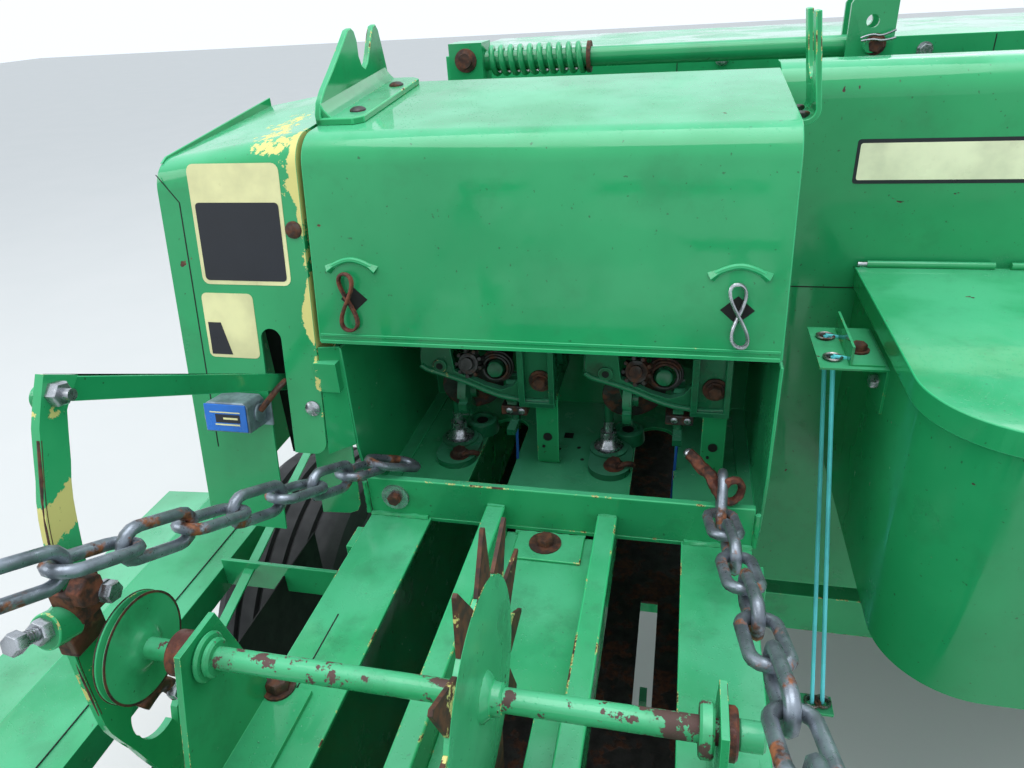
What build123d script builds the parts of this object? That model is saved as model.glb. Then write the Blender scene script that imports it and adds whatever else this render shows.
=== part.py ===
from build123d import *
import math
import os

# Small square baler with a side pickup, parked on its wheels and jack.
# Millimetres. X points right, Y forward to the tractor, Z up from the ground.

os.makedirs("parts", exist_ok=True)

# Overall size
WIDTH = 2600.0
LENGTH = 4900.0

HITCH_TIP = LENGTH / 2
LEFT_EDGE = -WIDTH / 2
RIGHT_EDGE = WIDTH / 2

# Clearances
RUN_GAP = 0.3
SWING_GAP = 6.0

# Bale case
CASE_X = -540.0
CHAMBER_WIDTH = 457.0
CHAMBER_HEIGHT = 356.0
CASE_PLATE = 6.0
DECK_Z = 1000.0
DECK_WIDTH = 500.0
CASE_REAR = -2300.0
CASE_FRONT = 650.0
SILL_WIDTH = 30.0
RIB_DEPTH = 28.0
RIB_WIDTH = 40.0

FLOOR_Z = DECK_Z - CASE_PLATE - CHAMBER_HEIGHT
SIDE_IN = CHAMBER_WIDTH / 2
SIDE_OUT = SIDE_IN + CASE_PLATE
DECK_HALF = DECK_WIDTH / 2
CASE_MID_Y = (CASE_REAR + CASE_FRONT) / 2
CASE_LENGTH = CASE_FRONT - CASE_REAR

# Crossbar and the openings of the deck behind it
BAR_Y = -1200.0
BAR_THICK = 10.0
BAR_HEIGHT = 59.0
SIDE_STRIP = 85.0
RAIL_WIDTH = 25.0
RAIL_X = 72.5
RAIL_TOP = 32.0
RAIL_HEIGHT = 48.0
CENTRE_DROP = 10.0

BAR_REAR = BAR_Y - BAR_THICK / 2
BAR_FRONT = BAR_Y + BAR_THICK / 2

# Feed opening of the right case wall
FEED_REAR = -850.0
FEED_FRONT = -250.0
FEED_SILL = 660.0

# Axle and wheels
AXLE_Y = -760.0
BEAM_Z = 515.0
BEAM_SIZE = 90.0
BEAM_HALF = 960.0
BEAM_PLATE = 20.0
SPINDLE_R = 25.0
HUB_R = 48.0

BEAM_TOP = BEAM_Z + BEAM_SIZE / 2

# Main frame under the case
FRAME_REAR = -1230.0
FRAME_FRONT = 1010.0
FRAME_RAIL = 60.0
FRAME_Z = FLOOR_Z - CASE_PLATE

# Knotter bay
BAY_LEFT = -262.0
BAY_RIGHT = 262.0
BAY_DEPTH = 330.0
BAY_SHEET = 4.0
HOOD_LEAN = math.tan(math.radians(9.7))
HOOD_EDGE_Z = 255.0
HOOD_BEND_Z = 490.0
HOOD_FRONT_Z = 515.0
HOOD_SHEET = 3.0
SHAFT_Y = 215.0
SHAFT_Z = 165.0
SHAFT_R = 17.5
NEEDLE_X = (-108.5, 122.5)

# Bale length meter
METER_Y = -368.0
METER_Z = 125.0
METER_R = 10.0
STAR_X = 12.0
STAR_R = 150.0
STAR_THICK = 6.0
STAR_SET = 4.0

# Feeder
FEEDER_LEFT = CASE_X + SIDE_OUT
FEEDER_RIGHT = RIGHT_EDGE - 300.0
FEEDER_FRONT = -225.0
FEEDER_FLOOR = 655.0
SHEET = 3.0
SHIELD_Y = BAR_Y + BAY_DEPTH

# Twine box
BOX_LEFT = CASE_X + 385.0
BOX_RIGHT = 500.0
BOX_REAR = BAR_Y - 125.0
BOX_TOP = 1250.0
BOX_BOTTOM = 905.0
BOX_CORNER = 110.0
LID_RIM = 24.0

# Pickup
PICKUP_LEFT = -264.0
PICKUP_RIGHT = FEEDER_RIGHT + 100.0
REEL_Y = 80.0
REEL_Z = 400.0
TINE_R = 245.0
BAND_R = 185.0
BAND_COUNT = 23
BAND_WIDTH = 40.0
TINE_BARS = 4
LIFT_Y = -190.0
LIFT_Z = 600.0
PICKUP_PLATE = 6.0
PIVOT_PIN_R = 18.0

# Drive line
DRIVE_Z = 820.0
FLYWHEEL_R = 270.0
FLYWHEEL_Y = 1160.0

# Tongue and jack
TONGUE_WIDTH = 120.0
TONGUE_TOP = 530.0
TONGUE_DEPTH = 100.0
TONGUE_REAR = 250.0
HITCH_R = 16.5
JACK_Y = 1900.0
JACK_Z = 480.0

# Bale case: two side walls, the right one open to the feeder
for label, side in (("case_side_left", -1), ("case_side_right", 1)):
    with BuildPart() as case_side:
        with BuildSketch(Plane.YZ.offset(CASE_X + side * SIDE_IN)):
            with Locations((CASE_MID_Y, FLOOR_Z - CASE_PLATE)):
                Rectangle(CASE_LENGTH, CHAMBER_HEIGHT + CASE_PLATE, align=(Align.CENTER, Align.MIN))
            if side > 0:
                with Locations((FEED_REAR, FEED_SILL)):
                    Rectangle(
                        FEED_FRONT - FEED_REAR,
                        DECK_Z - CASE_PLATE - FEED_SILL - CASE_PLATE,
                        align=(Align.MIN, Align.MIN),
                        mode=Mode.SUBTRACT,
                    )
        extrude(amount=side * CASE_PLATE)
        with Locations((CASE_X + side * (SIDE_OUT + SILL_WIDTH / 2), CASE_MID_Y, FLOOR_Z - CASE_PLATE / 2)):
            Box(SILL_WIDTH, CASE_LENGTH, CASE_PLATE)
        for rib_y in (CASE_REAR + RIB_WIDTH / 2, -1740.0, -1250.0, 420.0):
            with Locations((CASE_X + side * (SIDE_OUT + RIB_DEPTH / 2), rib_y, FLOOR_Z)):
                Box(RIB_DEPTH, RIB_WIDTH, CHAMBER_HEIGHT, align=(Align.CENTER, Align.CENTER, Align.MIN))
    case_side.part.label = label
    export_step(case_side.part, f"parts/{label}.step")

# Chamber floor with the two needle slots
NEEDLE_SLOT = 30.0
NEEDLE_SLOT_LENGTH = 240.0
with BuildPart() as case_floor:
    with BuildSketch(Plane.XY.offset(FLOOR_Z - CASE_PLATE)):
        with Locations((CASE_X, CASE_MID_Y)):
            Rectangle(CHAMBER_WIDTH, CASE_LENGTH)
        for needle_x in NEEDLE_X:
            with Locations((CASE_X + needle_x, BAR_Y + 135)):
                Rectangle(NEEDLE_SLOT, NEEDLE_SLOT_LENGTH, mode=Mode.SUBTRACT)
    extrude(amount=CASE_PLATE)
case_floor.part.label = "case_floor"
export_step(case_floor.part, "parts/case_floor.step")

# Deck over the chamber, with a twine slot under each knotter
TWINE_SLOT_LENGTH = 260.0
with BuildPart() as case_deck:
    with BuildSketch(Plane.XY.offset(DECK_Z - CASE_PLATE)):
        with Locations((CASE_X, (BAR_REAR + CASE_FRONT) / 2)):
            Rectangle(DECK_WIDTH, CASE_FRONT - BAR_REAR)
        for needle_x in NEEDLE_X:
            with Locations((CASE_X + needle_x, BAR_Y + 135)):
                SlotOverall(TWINE_SLOT_LENGTH, 58, rotation=90, mode=Mode.SUBTRACT)
    extrude(amount=CASE_PLATE)
case_deck.part.label = "case_deck"
export_step(case_deck.part, "parts/case_deck.step")

# Top plates behind the crossbar: two side strips and a lower centre plate slotted for the star wheel
REAR_LENGTH = BAR_REAR - CASE_REAR
STAR_SLOT_X = STAR_THICK + 2 * STAR_SET + 3 * SWING_GAP
with BuildPart() as rear_top_plates:
    with BuildSketch(Plane.XY.offset(DECK_Z - CASE_PLATE)):
        for side in (-1, 1):
            with Locations((CASE_X + side * (DECK_HALF - SIDE_STRIP / 2), CASE_REAR + REAR_LENGTH / 2)):
                Rectangle(SIDE_STRIP, REAR_LENGTH)
    extrude(amount=CASE_PLATE)
    with BuildSketch(Plane.XY.offset(DECK_Z - CENTRE_DROP - CASE_PLATE)):
        with Locations((CASE_X, CASE_REAR + REAR_LENGTH / 2)):
            Rectangle(2 * RAIL_X - RAIL_WIDTH, REAR_LENGTH)
        with Locations((CASE_X + STAR_X, BAR_Y + METER_Y)):
            Rectangle(STAR_SLOT_X, 190, mode=Mode.SUBTRACT)
    extrude(amount=CASE_PLATE)
rear_top_plates.part.label = "rear_top_plates"
export_step(rear_top_plates.part, "parts/rear_top_plates.step")

# Two upper tension rails
with BuildPart() as tension_rails:
    for side in (-1, 1):
        with Locations((CASE_X + side * RAIL_X, CASE_REAR + REAR_LENGTH / 2, DECK_Z + RAIL_TOP)):
            Box(RAIL_WIDTH, REAR_LENGTH, RAIL_HEIGHT, align=(Align.CENTER, Align.CENTER, Align.MAX))
tension_rails.part.label = "tension_rails"
export_step(tension_rails.part, "parts/tension_rails.step")

# Crossbar standing on the deck
with BuildPart() as crossbar:
    with Locations((CASE_X, BAR_Y, DECK_Z)):
        Box(DECK_WIDTH, BAR_THICK, BAR_HEIGHT, align=(Align.CENTER, Align.CENTER, Align.MIN))
crossbar.part.label = "crossbar"
export_step(crossbar.part, "parts/crossbar.step")

# Rear bale tension frame: channels over and under the case, screws, springs and cranks
TENSION_Y = -2130.0
SCREW_X = 300.0
SCREW_R = 10.0
SPRING_R = 26.0
CHANNEL = 60.0
CHANNEL_LENGTH = 700.0
with BuildPart() as rear_tension:
    with Locations((CASE_X, TENSION_Y, DECK_Z + RAIL_TOP + CHANNEL / 2)):
        Box(CHANNEL_LENGTH, CHANNEL, CHANNEL)
    with Locations((CASE_X, TENSION_Y, FLOOR_Z - CASE_PLATE - CHANNEL / 2)):
        Box(CHANNEL_LENGTH, CHANNEL, CHANNEL)
    for side in (-1, 1):
        with Locations((CASE_X + side * SCREW_X, TENSION_Y, FLOOR_Z - CASE_PLATE - CHANNEL - 30)):
            Cylinder(SCREW_R, 760, align=(Align.CENTER, Align.CENTER, Align.MIN))
        with Locations((CASE_X + side * SCREW_X, TENSION_Y, DECK_Z + RAIL_TOP + CHANNEL)):
            Cylinder(SPRING_R, 130, align=(Align.CENTER, Align.CENTER, Align.MIN))
        with Locations((CASE_X + side * SCREW_X, TENSION_Y, DECK_Z + RAIL_TOP + CHANNEL + 160)):
            Box(22, 110, 22)
        with Locations((CASE_X + side * SCREW_X, TENSION_Y - 50, DECK_Z + RAIL_TOP + CHANNEL + 190)):
            Cylinder(9, 80)
rear_tension.part.label = "rear_tension"
export_step(rear_tension.part, "parts/rear_tension.step")

# Walls of the knotter bay: left, right and front
WALL_TOP = HOOD_EDGE_Z - 10
with BuildPart() as bay_walls:
    for side in (-1, 1):
        with BuildSketch(Plane.YZ.offset(CASE_X + side * (BAY_RIGHT - BAY_SHEET))):
            with BuildLine():
                Polyline(
                    (BAR_Y + 25, DECK_Z),
                    (BAR_Y + 5, DECK_Z + 99),
                    (BAR_Y + 5, DECK_Z + WALL_TOP),
                    (BAR_Y + BAY_DEPTH, DECK_Z + WALL_TOP),
                    (BAR_Y + BAY_DEPTH, DECK_Z),
                    close=True,
                )
            make_face()
            if side < 0:
                with Locations((BAR_Y + SHAFT_Y, DECK_Z + SHAFT_Z)):
                    Circle(SHAFT_R + RUN_GAP, mode=Mode.SUBTRACT)
        extrude(amount=side * BAY_SHEET)
        with Locations((CASE_X + side * (BAY_RIGHT - 12), BAR_Y + 30, DECK_Z)):
            Box(24, BAY_DEPTH - 30, BAY_SHEET, align=(Align.CENTER, Align.MIN, Align.MIN))
    with Locations((CASE_X, BAR_Y + BAY_DEPTH, DECK_Z)):
        Box(2 * BAY_RIGHT, BAY_SHEET, HOOD_FRONT_Z - 25, align=(Align.CENTER, Align.MIN, Align.MIN))
bay_walls.part.label = "bay_walls"
export_step(bay_walls.part, "parts/bay_walls.step")

# Knotters: a cast frame on a round foot and a strap leg, with twine disc, bill hook pinion and stripper arm
CAST_REAR = 128.0
CAST_FRONT = 292.0
CAST_UNDER = 98.0
CAST_TOP = 205.0
CAST_LEFT = -96.0
CAST_RIGHT = 90.0
CHEEK_LEFT = -55.0
CHEEK_RIGHT = 50.0
DISC_Y = 152.0
DISC_Z = 114.0
DISC_R = 38.0
DISC_NOTCHES = 6
PINION_R = 22.0
PINION_TEETH = 11
for label, needle_x in zip(("knotter_left", "knotter_right"), NEEDLE_X):
    knot_x = CASE_X + needle_x
    with BuildPart() as knotter:
        # frame: arched over the shaft, hollowed from below
        with BuildSketch(Plane.YZ.offset(knot_x + CAST_LEFT)):
            with BuildLine():
                Line((BAR_Y + CAST_REAR, DECK_Z + 128), (BAR_Y + CAST_REAR, DECK_Z + 150))
                ThreePointArc(
                    (BAR_Y + CAST_REAR, DECK_Z + 150),
                    (BAR_Y + 155, DECK_Z + 192),
                    (BAR_Y + 200, DECK_Z + CAST_TOP),
                )
                Line((BAR_Y + 200, DECK_Z + CAST_TOP), (BAR_Y + CAST_FRONT, DECK_Z + CAST_TOP - 15))
                Line((BAR_Y + CAST_FRONT, DECK_Z + CAST_TOP - 15), (BAR_Y + CAST_FRONT, DECK_Z + CAST_UNDER))
                Line((BAR_Y + CAST_FRONT, DECK_Z + CAST_UNDER), (BAR_Y + 175, DECK_Z + CAST_UNDER))
                ThreePointArc(
                    (BAR_Y + 175, DECK_Z + CAST_UNDER),
                    (BAR_Y + 142, DECK_Z + 104),
                    (BAR_Y + CAST_REAR, DECK_Z + 128),
                )
            make_face()
            with Locations((BAR_Y + SHAFT_Y, DECK_Z + SHAFT_Z)):
                Circle(SHAFT_R + RUN_GAP, mode=Mode.SUBTRACT)
        extrude(amount=CAST_RIGHT - CAST_LEFT)
        with Locations((knot_x + CHEEK_LEFT, BAR_Y + CAST_REAR - 5, DECK_Z + CAST_UNDER - 5)):
            Box(
                CHEEK_RIGHT - CHEEK_LEFT,
                CAST_FRONT - CAST_REAR - 9,
                CAST_TOP - CAST_UNDER + 10,
                align=(Align.MIN, Align.MIN, Align.MIN),
                mode=Mode.SUBTRACT,
            )
        # raised rims round the shaft on both cheeks
        for rim_x, rim_side in ((CAST_LEFT, -1), (CAST_RIGHT, 1)):
            with BuildSketch(Plane.YZ.offset(knot_x + rim_x)):
                with Locations((BAR_Y + SHAFT_Y, DECK_Z + SHAFT_Z)):
                    Circle(SHAFT_R + 16)
                    Circle(SHAFT_R + RUN_GAP, mode=Mode.SUBTRACT)
            extrude(amount=rim_side * 7)
        # notched twine disc on its stub at the left cheek
        with BuildSketch(Plane.YZ.offset(knot_x + CHEEK_LEFT + 12)):
            with Locations((BAR_Y + DISC_Y, DECK_Z + DISC_Z)):
                Circle(DISC_R)
                with PolarLocations(DISC_R, DISC_NOTCHES):
                    Rectangle(18, 9, mode=Mode.SUBTRACT)
        extrude(amount=12)
        with BuildSketch(Plane.YZ.offset(knot_x + CHEEK_LEFT - 6)):
            with Locations((BAR_Y + DISC_Y, DECK_Z + DISC_Z)):
                Circle(11)
        extrude(amount=38)
        # toothed pinion at the right cheek, with the bill hook's stem and beak below it
        with BuildSketch(Plane.YZ.offset(knot_x + CHEEK_RIGHT - 26)):
            with Locations((BAR_Y + DISC_Y, DECK_Z + DISC_Z + 6)):
                Circle(PINION_R - 4)
                with PolarLocations(PINION_R - 2, PINION_TEETH):
                    Rectangle(9, 6)
        extrude(amount=14)
        with BuildSketch(Plane.YZ.offset(knot_x + CHEEK_RIGHT - 30)):
            with Locations((BAR_Y + DISC_Y, DECK_Z + DISC_Z + 6)):
                Circle(9)
        extrude(amount=36)
        with Locations((knot_x + CHEEK_RIGHT - 19, BAR_Y + DISC_Y, DECK_Z + 62)):
            Cylinder(7, 50, align=(Align.CENTER, Align.CENTER, Align.MIN))
            Box(12, 34, 9, align=(Align.CENTER, Align.MAX, Align.MIN))
        # round foot on its slotted base plate
        with BuildSketch(Plane.XY.offset(DECK_Z)):
            with Locations((knot_x - 62, BAR_Y + 158)):
                SlotOverall(96, 62, rotation=90)
        extrude(amount=10)
        with Locations((knot_x - 67, BAR_Y + 180, DECK_Z)):
            Cylinder(20, CAST_UNDER + 4, align=(Align.CENTER, Align.CENTER, Align.MIN))
            Cylinder(28, 22, align=(Align.CENTER, Align.CENTER, Align.MIN))
        # strap leg with two holes, turned out at its foot
        with BuildSketch(Plane.YZ.offset(knot_x + 74)):
            with Locations((BAR_Y + 166, DECK_Z)):
                Rectangle(36, CAST_UNDER + 40, align=(Align.CENTER, Align.MIN))
            with Locations((BAR_Y + 166, DECK_Z + 74)):
                Circle(8, mode=Mode.SUBTRACT)
            with Locations((BAR_Y + 166, DECK_Z + 36)):
                Circle(5, mode=Mode.SUBTRACT)
        extrude(amount=10)
        with Locations((knot_x + 74, BAR_Y + 166, DECK_Z)):
            Box(34, 36, 8, align=(Align.MIN, Align.CENTER, Align.MIN))
    knotter.part.label = label
    export_step(knotter.part, f"parts/{label}.step")

# Knotter shaft with a cam disc at each knotter and the drive sprocket in the left shield
with BuildPart() as knotter_shaft:
    with BuildSketch(Plane.YZ.offset(CASE_X - 430)):
        with Locations((BAR_Y + SHAFT_Y, DECK_Z + SHAFT_Z)):
            Circle(SHAFT_R)
    extrude(amount=430 + BAY_RIGHT - BAY_SHEET - 1)
    for needle_x in NEEDLE_X:
        with BuildSketch(Plane.YZ.offset(CASE_X + needle_x - 8)):
            with Locations((BAR_Y + SHAFT_Y, DECK_Z + SHAFT_Z)):
                Circle(58)
        extrude(amount=16)
    with BuildSketch(Plane.YZ.offset(CASE_X - 400)):
        with Locations((BAR_Y + SHAFT_Y, DECK_Z + SHAFT_Z)):
            Circle(100)
    extrude(amount=12)
knotter_shaft.part.label = "knotter_shaft"
export_step(knotter_shaft.part, "parts/knotter_shaft.step")

# Drive shield left of the bay: leaning rear face, rounded top falling outwards, slotted for the trip link
GUARD_IN = -288.0
GUARD_OUT = -475.0
GUARD_OUT_TOP = HOOD_BEND_Z - 27
GUARD_LOW = -10.0
GUARD_BEND = 40.0


def lean_y(height):
    """Y of the leaning rear face of hood and shield at a height over the deck."""
    return BAR_Y + (height - HOOD_EDGE_Z) * HOOD_LEAN


def guard_side(x, top, low, inset, front):
    """Side outline of the shield or hood in the plane at x."""
    with BuildSketch(Plane.YZ.offset(CASE_X + x)) as outline:
        with BuildLine():
            Polyline(
                (lean_y(low) + inset, DECK_Z + low),
                (lean_y(top) + inset, DECK_Z + top - inset),
                (front, DECK_Z + top + HOOD_FRONT_Z - HOOD_BEND_Z - inset),
                (front, DECK_Z + low),
                close=True,
            )
        make_face()
        near = Vector(lean_y(top) + inset, DECK_Z + top - inset, 0)
        fillet(outline.vertices().sort_by_distance(near)[0], GUARD_BEND - inset)
    return outline.sketch


SHIELD_FRONT = BAR_Y + BAY_DEPTH
INNER_WALL_LOW = 130.0
SLOT_X = -348.0
SLOT_WIDTH = 28.0
SLOT_TOP = 269.0
STRIP_LOW = 105.0
STRIP_ROUND = 18.0
with BuildPart() as drive_shield:
    loft(
        sections=[
            guard_side(GUARD_OUT, GUARD_OUT_TOP, GUARD_LOW, 0, SHIELD_FRONT),
            guard_side(GUARD_IN, HOOD_BEND_Z, GUARD_LOW, 0, SHIELD_FRONT),
        ],
        ruled=True,
    )
    loft(
        sections=[
            guard_side(GUARD_OUT + HOOD_SHEET, GUARD_OUT_TOP, GUARD_LOW - 1, HOOD_SHEET, SHIELD_FRONT + 1),
            guard_side(GUARD_IN + 1, HOOD_BEND_Z, GUARD_LOW - 1, HOOD_SHEET, SHIELD_FRONT + 1),
        ],
        ruled=True,
        mode=Mode.SUBTRACT,
    )
    # inner wall beside the hood, with a hole for the knotter shaft
    extrude(
        guard_side(GUARD_IN - HOOD_SHEET, HOOD_BEND_Z - 1, INNER_WALL_LOW, 1, SHIELD_FRONT),
        amount=HOOD_SHEET,
    )
    with BuildSketch(Plane.YZ.offset(CASE_X + GUARD_IN - 2 * HOOD_SHEET)):
        with Locations((BAR_Y + SHAFT_Y, DECK_Z + SHAFT_Z)):
            Circle(SHAFT_R + RUN_GAP)
    extrude(amount=3 * HOOD_SHEET, mode=Mode.SUBTRACT)
    # slot for the trip link, round at the top and open at the bottom
    with BuildSketch(Plane.XZ.offset(-BAR_Y)):
        with Locations((CASE_X + SLOT_X, DECK_Z + SLOT_TOP - SLOT_WIDTH / 2)):
            Circle(SLOT_WIDTH / 2)
            Rectangle(SLOT_WIDTH, SLOT_TOP - GUARD_LOW, align=(Align.CENTER, Align.MAX))
    extrude(amount=100, both=True, mode=Mode.SUBTRACT)
    # the inner strip ends higher than the outer part, with a round corner
    with BuildSketch(Plane.XZ.offset(-BAR_Y)):
        with Locations((CASE_X + SLOT_X, DECK_Z + STRIP_LOW)):
            Rectangle(GUARD_IN - SLOT_X + 1, STRIP_LOW - GUARD_LOW + 1, align=(Align.MIN, Align.MAX))
        with Locations((CASE_X + GUARD_IN, DECK_Z + STRIP_LOW)):
            Rectangle(STRIP_ROUND, STRIP_ROUND, align=(Align.MAX, Align.MIN))
        with Locations((CASE_X + GUARD_IN - STRIP_ROUND, DECK_Z + STRIP_LOW + STRIP_ROUND)):
            Circle(STRIP_ROUND, mode=Mode.SUBTRACT)
    extrude(amount=60, both=True, mode=Mode.SUBTRACT)
    # tab against the bay wall
    with Locations((CASE_X + GUARD_IN - 4, lean_y(190) + 1, DECK_Z + 190)):
        Box(
            BAY_LEFT - GUARD_IN + 4,
            BAR_Y + 60 - lean_y(190),
            40,
            align=(Align.MIN, Align.MIN, Align.MIN),
        )
drive_shield.part.label = "drive_shield"
export_step(drive_shield.part, "parts/drive_shield.step")

# Hood over the knotters, hinged along its front edge
HOOD_LEFT = GUARD_IN + SWING_GAP
HOOD_RIGHT = 259.0
HOOD_FRONT = SHIELD_FRONT - RUN_GAP
with BuildPart() as hood:
    loft(
        sections=[
            guard_side(HOOD_LEFT, HOOD_BEND_Z, HOOD_EDGE_Z, 0, HOOD_FRONT),
            guard_side(HOOD_RIGHT, HOOD_BEND_Z, HOOD_EDGE_Z, 0, HOOD_FRONT),
        ],
        ruled=True,
    )
    loft(
        sections=[
            guard_side(HOOD_LEFT + HOOD_SHEET, HOOD_BEND_Z, HOOD_EDGE_Z - 1, HOOD_SHEET, HOOD_FRONT + 1),
            guard_side(HOOD_RIGHT - HOOD_SHEET, HOOD_BEND_Z, HOOD_EDGE_Z - 1, HOOD_SHEET, HOOD_FRONT + 1),
        ],
        ruled=True,
        mode=Mode.SUBTRACT,
    )
    with Locations((CASE_X + (HOOD_LEFT + HOOD_RIGHT) / 2, lean_y(HOOD_EDGE_Z) + 1, DECK_Z + HOOD_EDGE_Z)):
        Box(HOOD_RIGHT - HOOD_LEFT, 16, HOOD_SHEET, align=(Align.CENTER, Align.MIN, Align.MIN))
hood.part.label = "hood"
export_step(hood.part, "parts/hood.step")

# Saddle bracket on the hood's left top edge: a plate with two tapered prongs on a bolted flange
TOP_RISE = math.atan2(HOOD_FRONT_Z - HOOD_BEND_Z, HOOD_FRONT - lean_y(HOOD_BEND_Z))
HOOD_TOP = Plane(
    origin=(CASE_X, lean_y(HOOD_BEND_Z), DECK_Z + HOOD_BEND_Z),
    x_dir=(1, 0, 0),
    z_dir=(0, -math.sin(TOP_RISE), math.cos(TOP_RISE)),
)
SADDLE_PLATE = 8.0
SADDLE_REAR = 52.0
SADDLE_FRONT = 282.0
SADDLE_FLANGE = 60.0
saddle_origin = HOOD_TOP.from_local_coords(Vector(HOOD_LEFT + 2, 0, 0))
with BuildPart() as saddle_bracket:
    with BuildSketch(Plane(origin=saddle_origin, x_dir=HOOD_TOP.y_dir, z_dir=(1, 0, 0))):
        with BuildLine():
            Polyline(
                (173, 41),
                (222, 83),
                (244, 81),
                (SADDLE_FRONT, 10),
                (SADDLE_FRONT, 0),
                (SADDLE_REAR, 0),
                (SADDLE_REAR, 38),
                (140, 90),
                (154, 89),
                (162, 44),
            )
            ThreePointArc((162, 44), (167, 36), (173, 41))
        make_face()
    extrude(amount=SADDLE_PLATE)
    with BuildSketch(HOOD_TOP) as flange:
        with Locations((HOOD_LEFT + 2, (SADDLE_REAR + SADDLE_FRONT) / 2)):
            Rectangle(SADDLE_FLANGE, SADDLE_FRONT - SADDLE_REAR, align=(Align.MIN, Align.CENTER))
        fillet(flange.vertices().sort_by(Axis.X)[-2:], 22)
    extrude(amount=SADDLE_PLATE)
saddle_bracket.part.label = "saddle_bracket"
export_step(saddle_bracket.part, "parts/saddle_bracket.step")

# Catch strap: a forked strap bent up beside the hood's right end
CATCH_REAR = BAR_Y + 130.0
CATCH_WIDTH = 85.0
CATCH_SHEET = 6.0
CATCH_Z = DECK_Z + 476.0
CATCH_REACH = 28.0
CATCH_RISE = 112.0
CATCH_BEND = 16.0
with BuildPart() as catch_strap:
    with BuildSketch(Plane.XZ.offset(-CATCH_REAR)):
        with BuildLine():
            catch_line = FilletPolyline(
                (CASE_X + HOOD_RIGHT, CATCH_Z),
                (CASE_X + HOOD_RIGHT + CATCH_REACH, CATCH_Z),
                (CASE_X + HOOD_RIGHT + CATCH_REACH - 14, CATCH_Z + CATCH_RISE),
                radius=CATCH_BEND,
            )
            offset(amount=CATCH_SHEET, side=Side.LEFT)
        make_face()
    extrude(amount=-CATCH_WIDTH)
    # slot that makes the fork, open at the top
    with BuildSketch(Plane.YZ.offset(CASE_X + HOOD_RIGHT)):
        with Locations((CATCH_REAR + CATCH_WIDTH / 2, CATCH_Z + CATCH_RISE - 48)):
            Circle(CATCH_WIDTH / 2 - 22)
            Rectangle(CATCH_WIDTH - 44, 80, align=(Align.CENTER, Align.MIN))
    extrude(amount=2 * CATCH_REACH, mode=Mode.SUBTRACT)
catch_strap.part.label = "catch_strap"
export_step(catch_strap.part, "parts/catch_strap.step")

# Bale counter on the drive shield's rear face
SHIELD_REAR = Plane(
    origin=(CASE_X, lean_y(0), DECK_Z),
    x_dir=(1, 0, 0),
    z_dir=(0, -math.cos(math.atan(HOOD_LEAN)), math.sin(math.atan(HOOD_LEAN))),
)
COUNTER_X = -397.0
COUNTER_Z = 168.0
with BuildPart(SHIELD_REAR) as counter:
    with Locations((COUNTER_X, COUNTER_Z, 0)):
        Box(62, 40, 46, align=(Align.CENTER, Align.CENTER, Align.MIN))
    fillet(counter.edges().filter_by(Axis.X), 4)
counter.part.label = "counter"
export_step(counter.part, "parts/counter.step")

# Trip arm: a curved flat bar that hangs beside the meter disc, held by the link at its top
TRIP_X = -345.0
TRIP_THICK = 8.0
TRIP_WIDTH = 45.0
TRIP_LINE = ((-316, 392), (-352, 300), (-374, 200), (-380, 100), (-367, 10), (-335, -90))
TRIP_NOTCH = 33.0
trip_rear = [(BAR_Y + y - TRIP_WIDTH / 2, DECK_Z + z) for y, z in TRIP_LINE]
trip_front = [(BAR_Y + y + TRIP_WIDTH / 2, DECK_Z + z) for y, z in TRIP_LINE]
with BuildPart() as trip_arm:
    with BuildSketch(Plane.YZ.offset(CASE_X + TRIP_X - TRIP_THICK / 2)):
        with BuildLine():
            Spline(*trip_rear)
            Line(trip_rear[-1], trip_front[-1])
            Spline(*trip_front)
            Line(trip_rear[0], trip_front[0])
        make_face()
        # the toe in front of the notch
        with BuildLine():
            Polyline(
                (BAR_Y - 350, DECK_Z - 88),
                (BAR_Y - 306, DECK_Z - 90),
                (BAR_Y - 286, DECK_Z - 56),
                (BAR_Y - 290, DECK_Z - 12),
                (BAR_Y - 326, DECK_Z - 10),
                close=True,
            )
        make_face()
        with Locations((BAR_Y - 345, DECK_Z + 14)):
            Circle(TRIP_NOTCH, mode=Mode.SUBTRACT)
    extrude(amount=TRIP_THICK)
trip_arm.part.label = "trip_arm"
export_step(trip_arm.part, "parts/trip_arm.step")

# Trip link: from the arm's top through the shield's slot to the drive
LINK_THICK = 6.0
LINK_HIGH = 24.0
with BuildPart() as trip_link:
    with BuildSketch(Plane.YZ.offset(CASE_X + TRIP_X - TRIP_THICK / 2)):
        with BuildLine():
            Polyline(
                (BAR_Y - 345, DECK_Z + 384),
                (BAR_Y + 180, DECK_Z + 115),
                (BAR_Y + 180, DECK_Z + 115 - LINK_HIGH),
                (BAR_Y - 345, DECK_Z + 384 - LINK_HIGH),
                close=True,
            )
        make_face()
    extrude(amount=-LINK_THICK)
    with Locations((CASE_X + TRIP_X - 11, BAR_Y - 322, DECK_Z + 366)):
        Cylinder(11, 8, rotation=(0, 90, 0))
    with Locations((CASE_X + TRIP_X - TRIP_THICK / 2, BAR_Y + 165, DECK_Z + 111)):
        Cylinder(
            9,
            BAY_LEFT - TRIP_X + TRIP_THICK / 2,
            rotation=(0, 90, 0),
            align=(Align.CENTER, Align.CENTER, Align.MIN),
        )
trip_link.part.label = "trip_link"
export_step(trip_link.part, "parts/trip_link.step")

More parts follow.
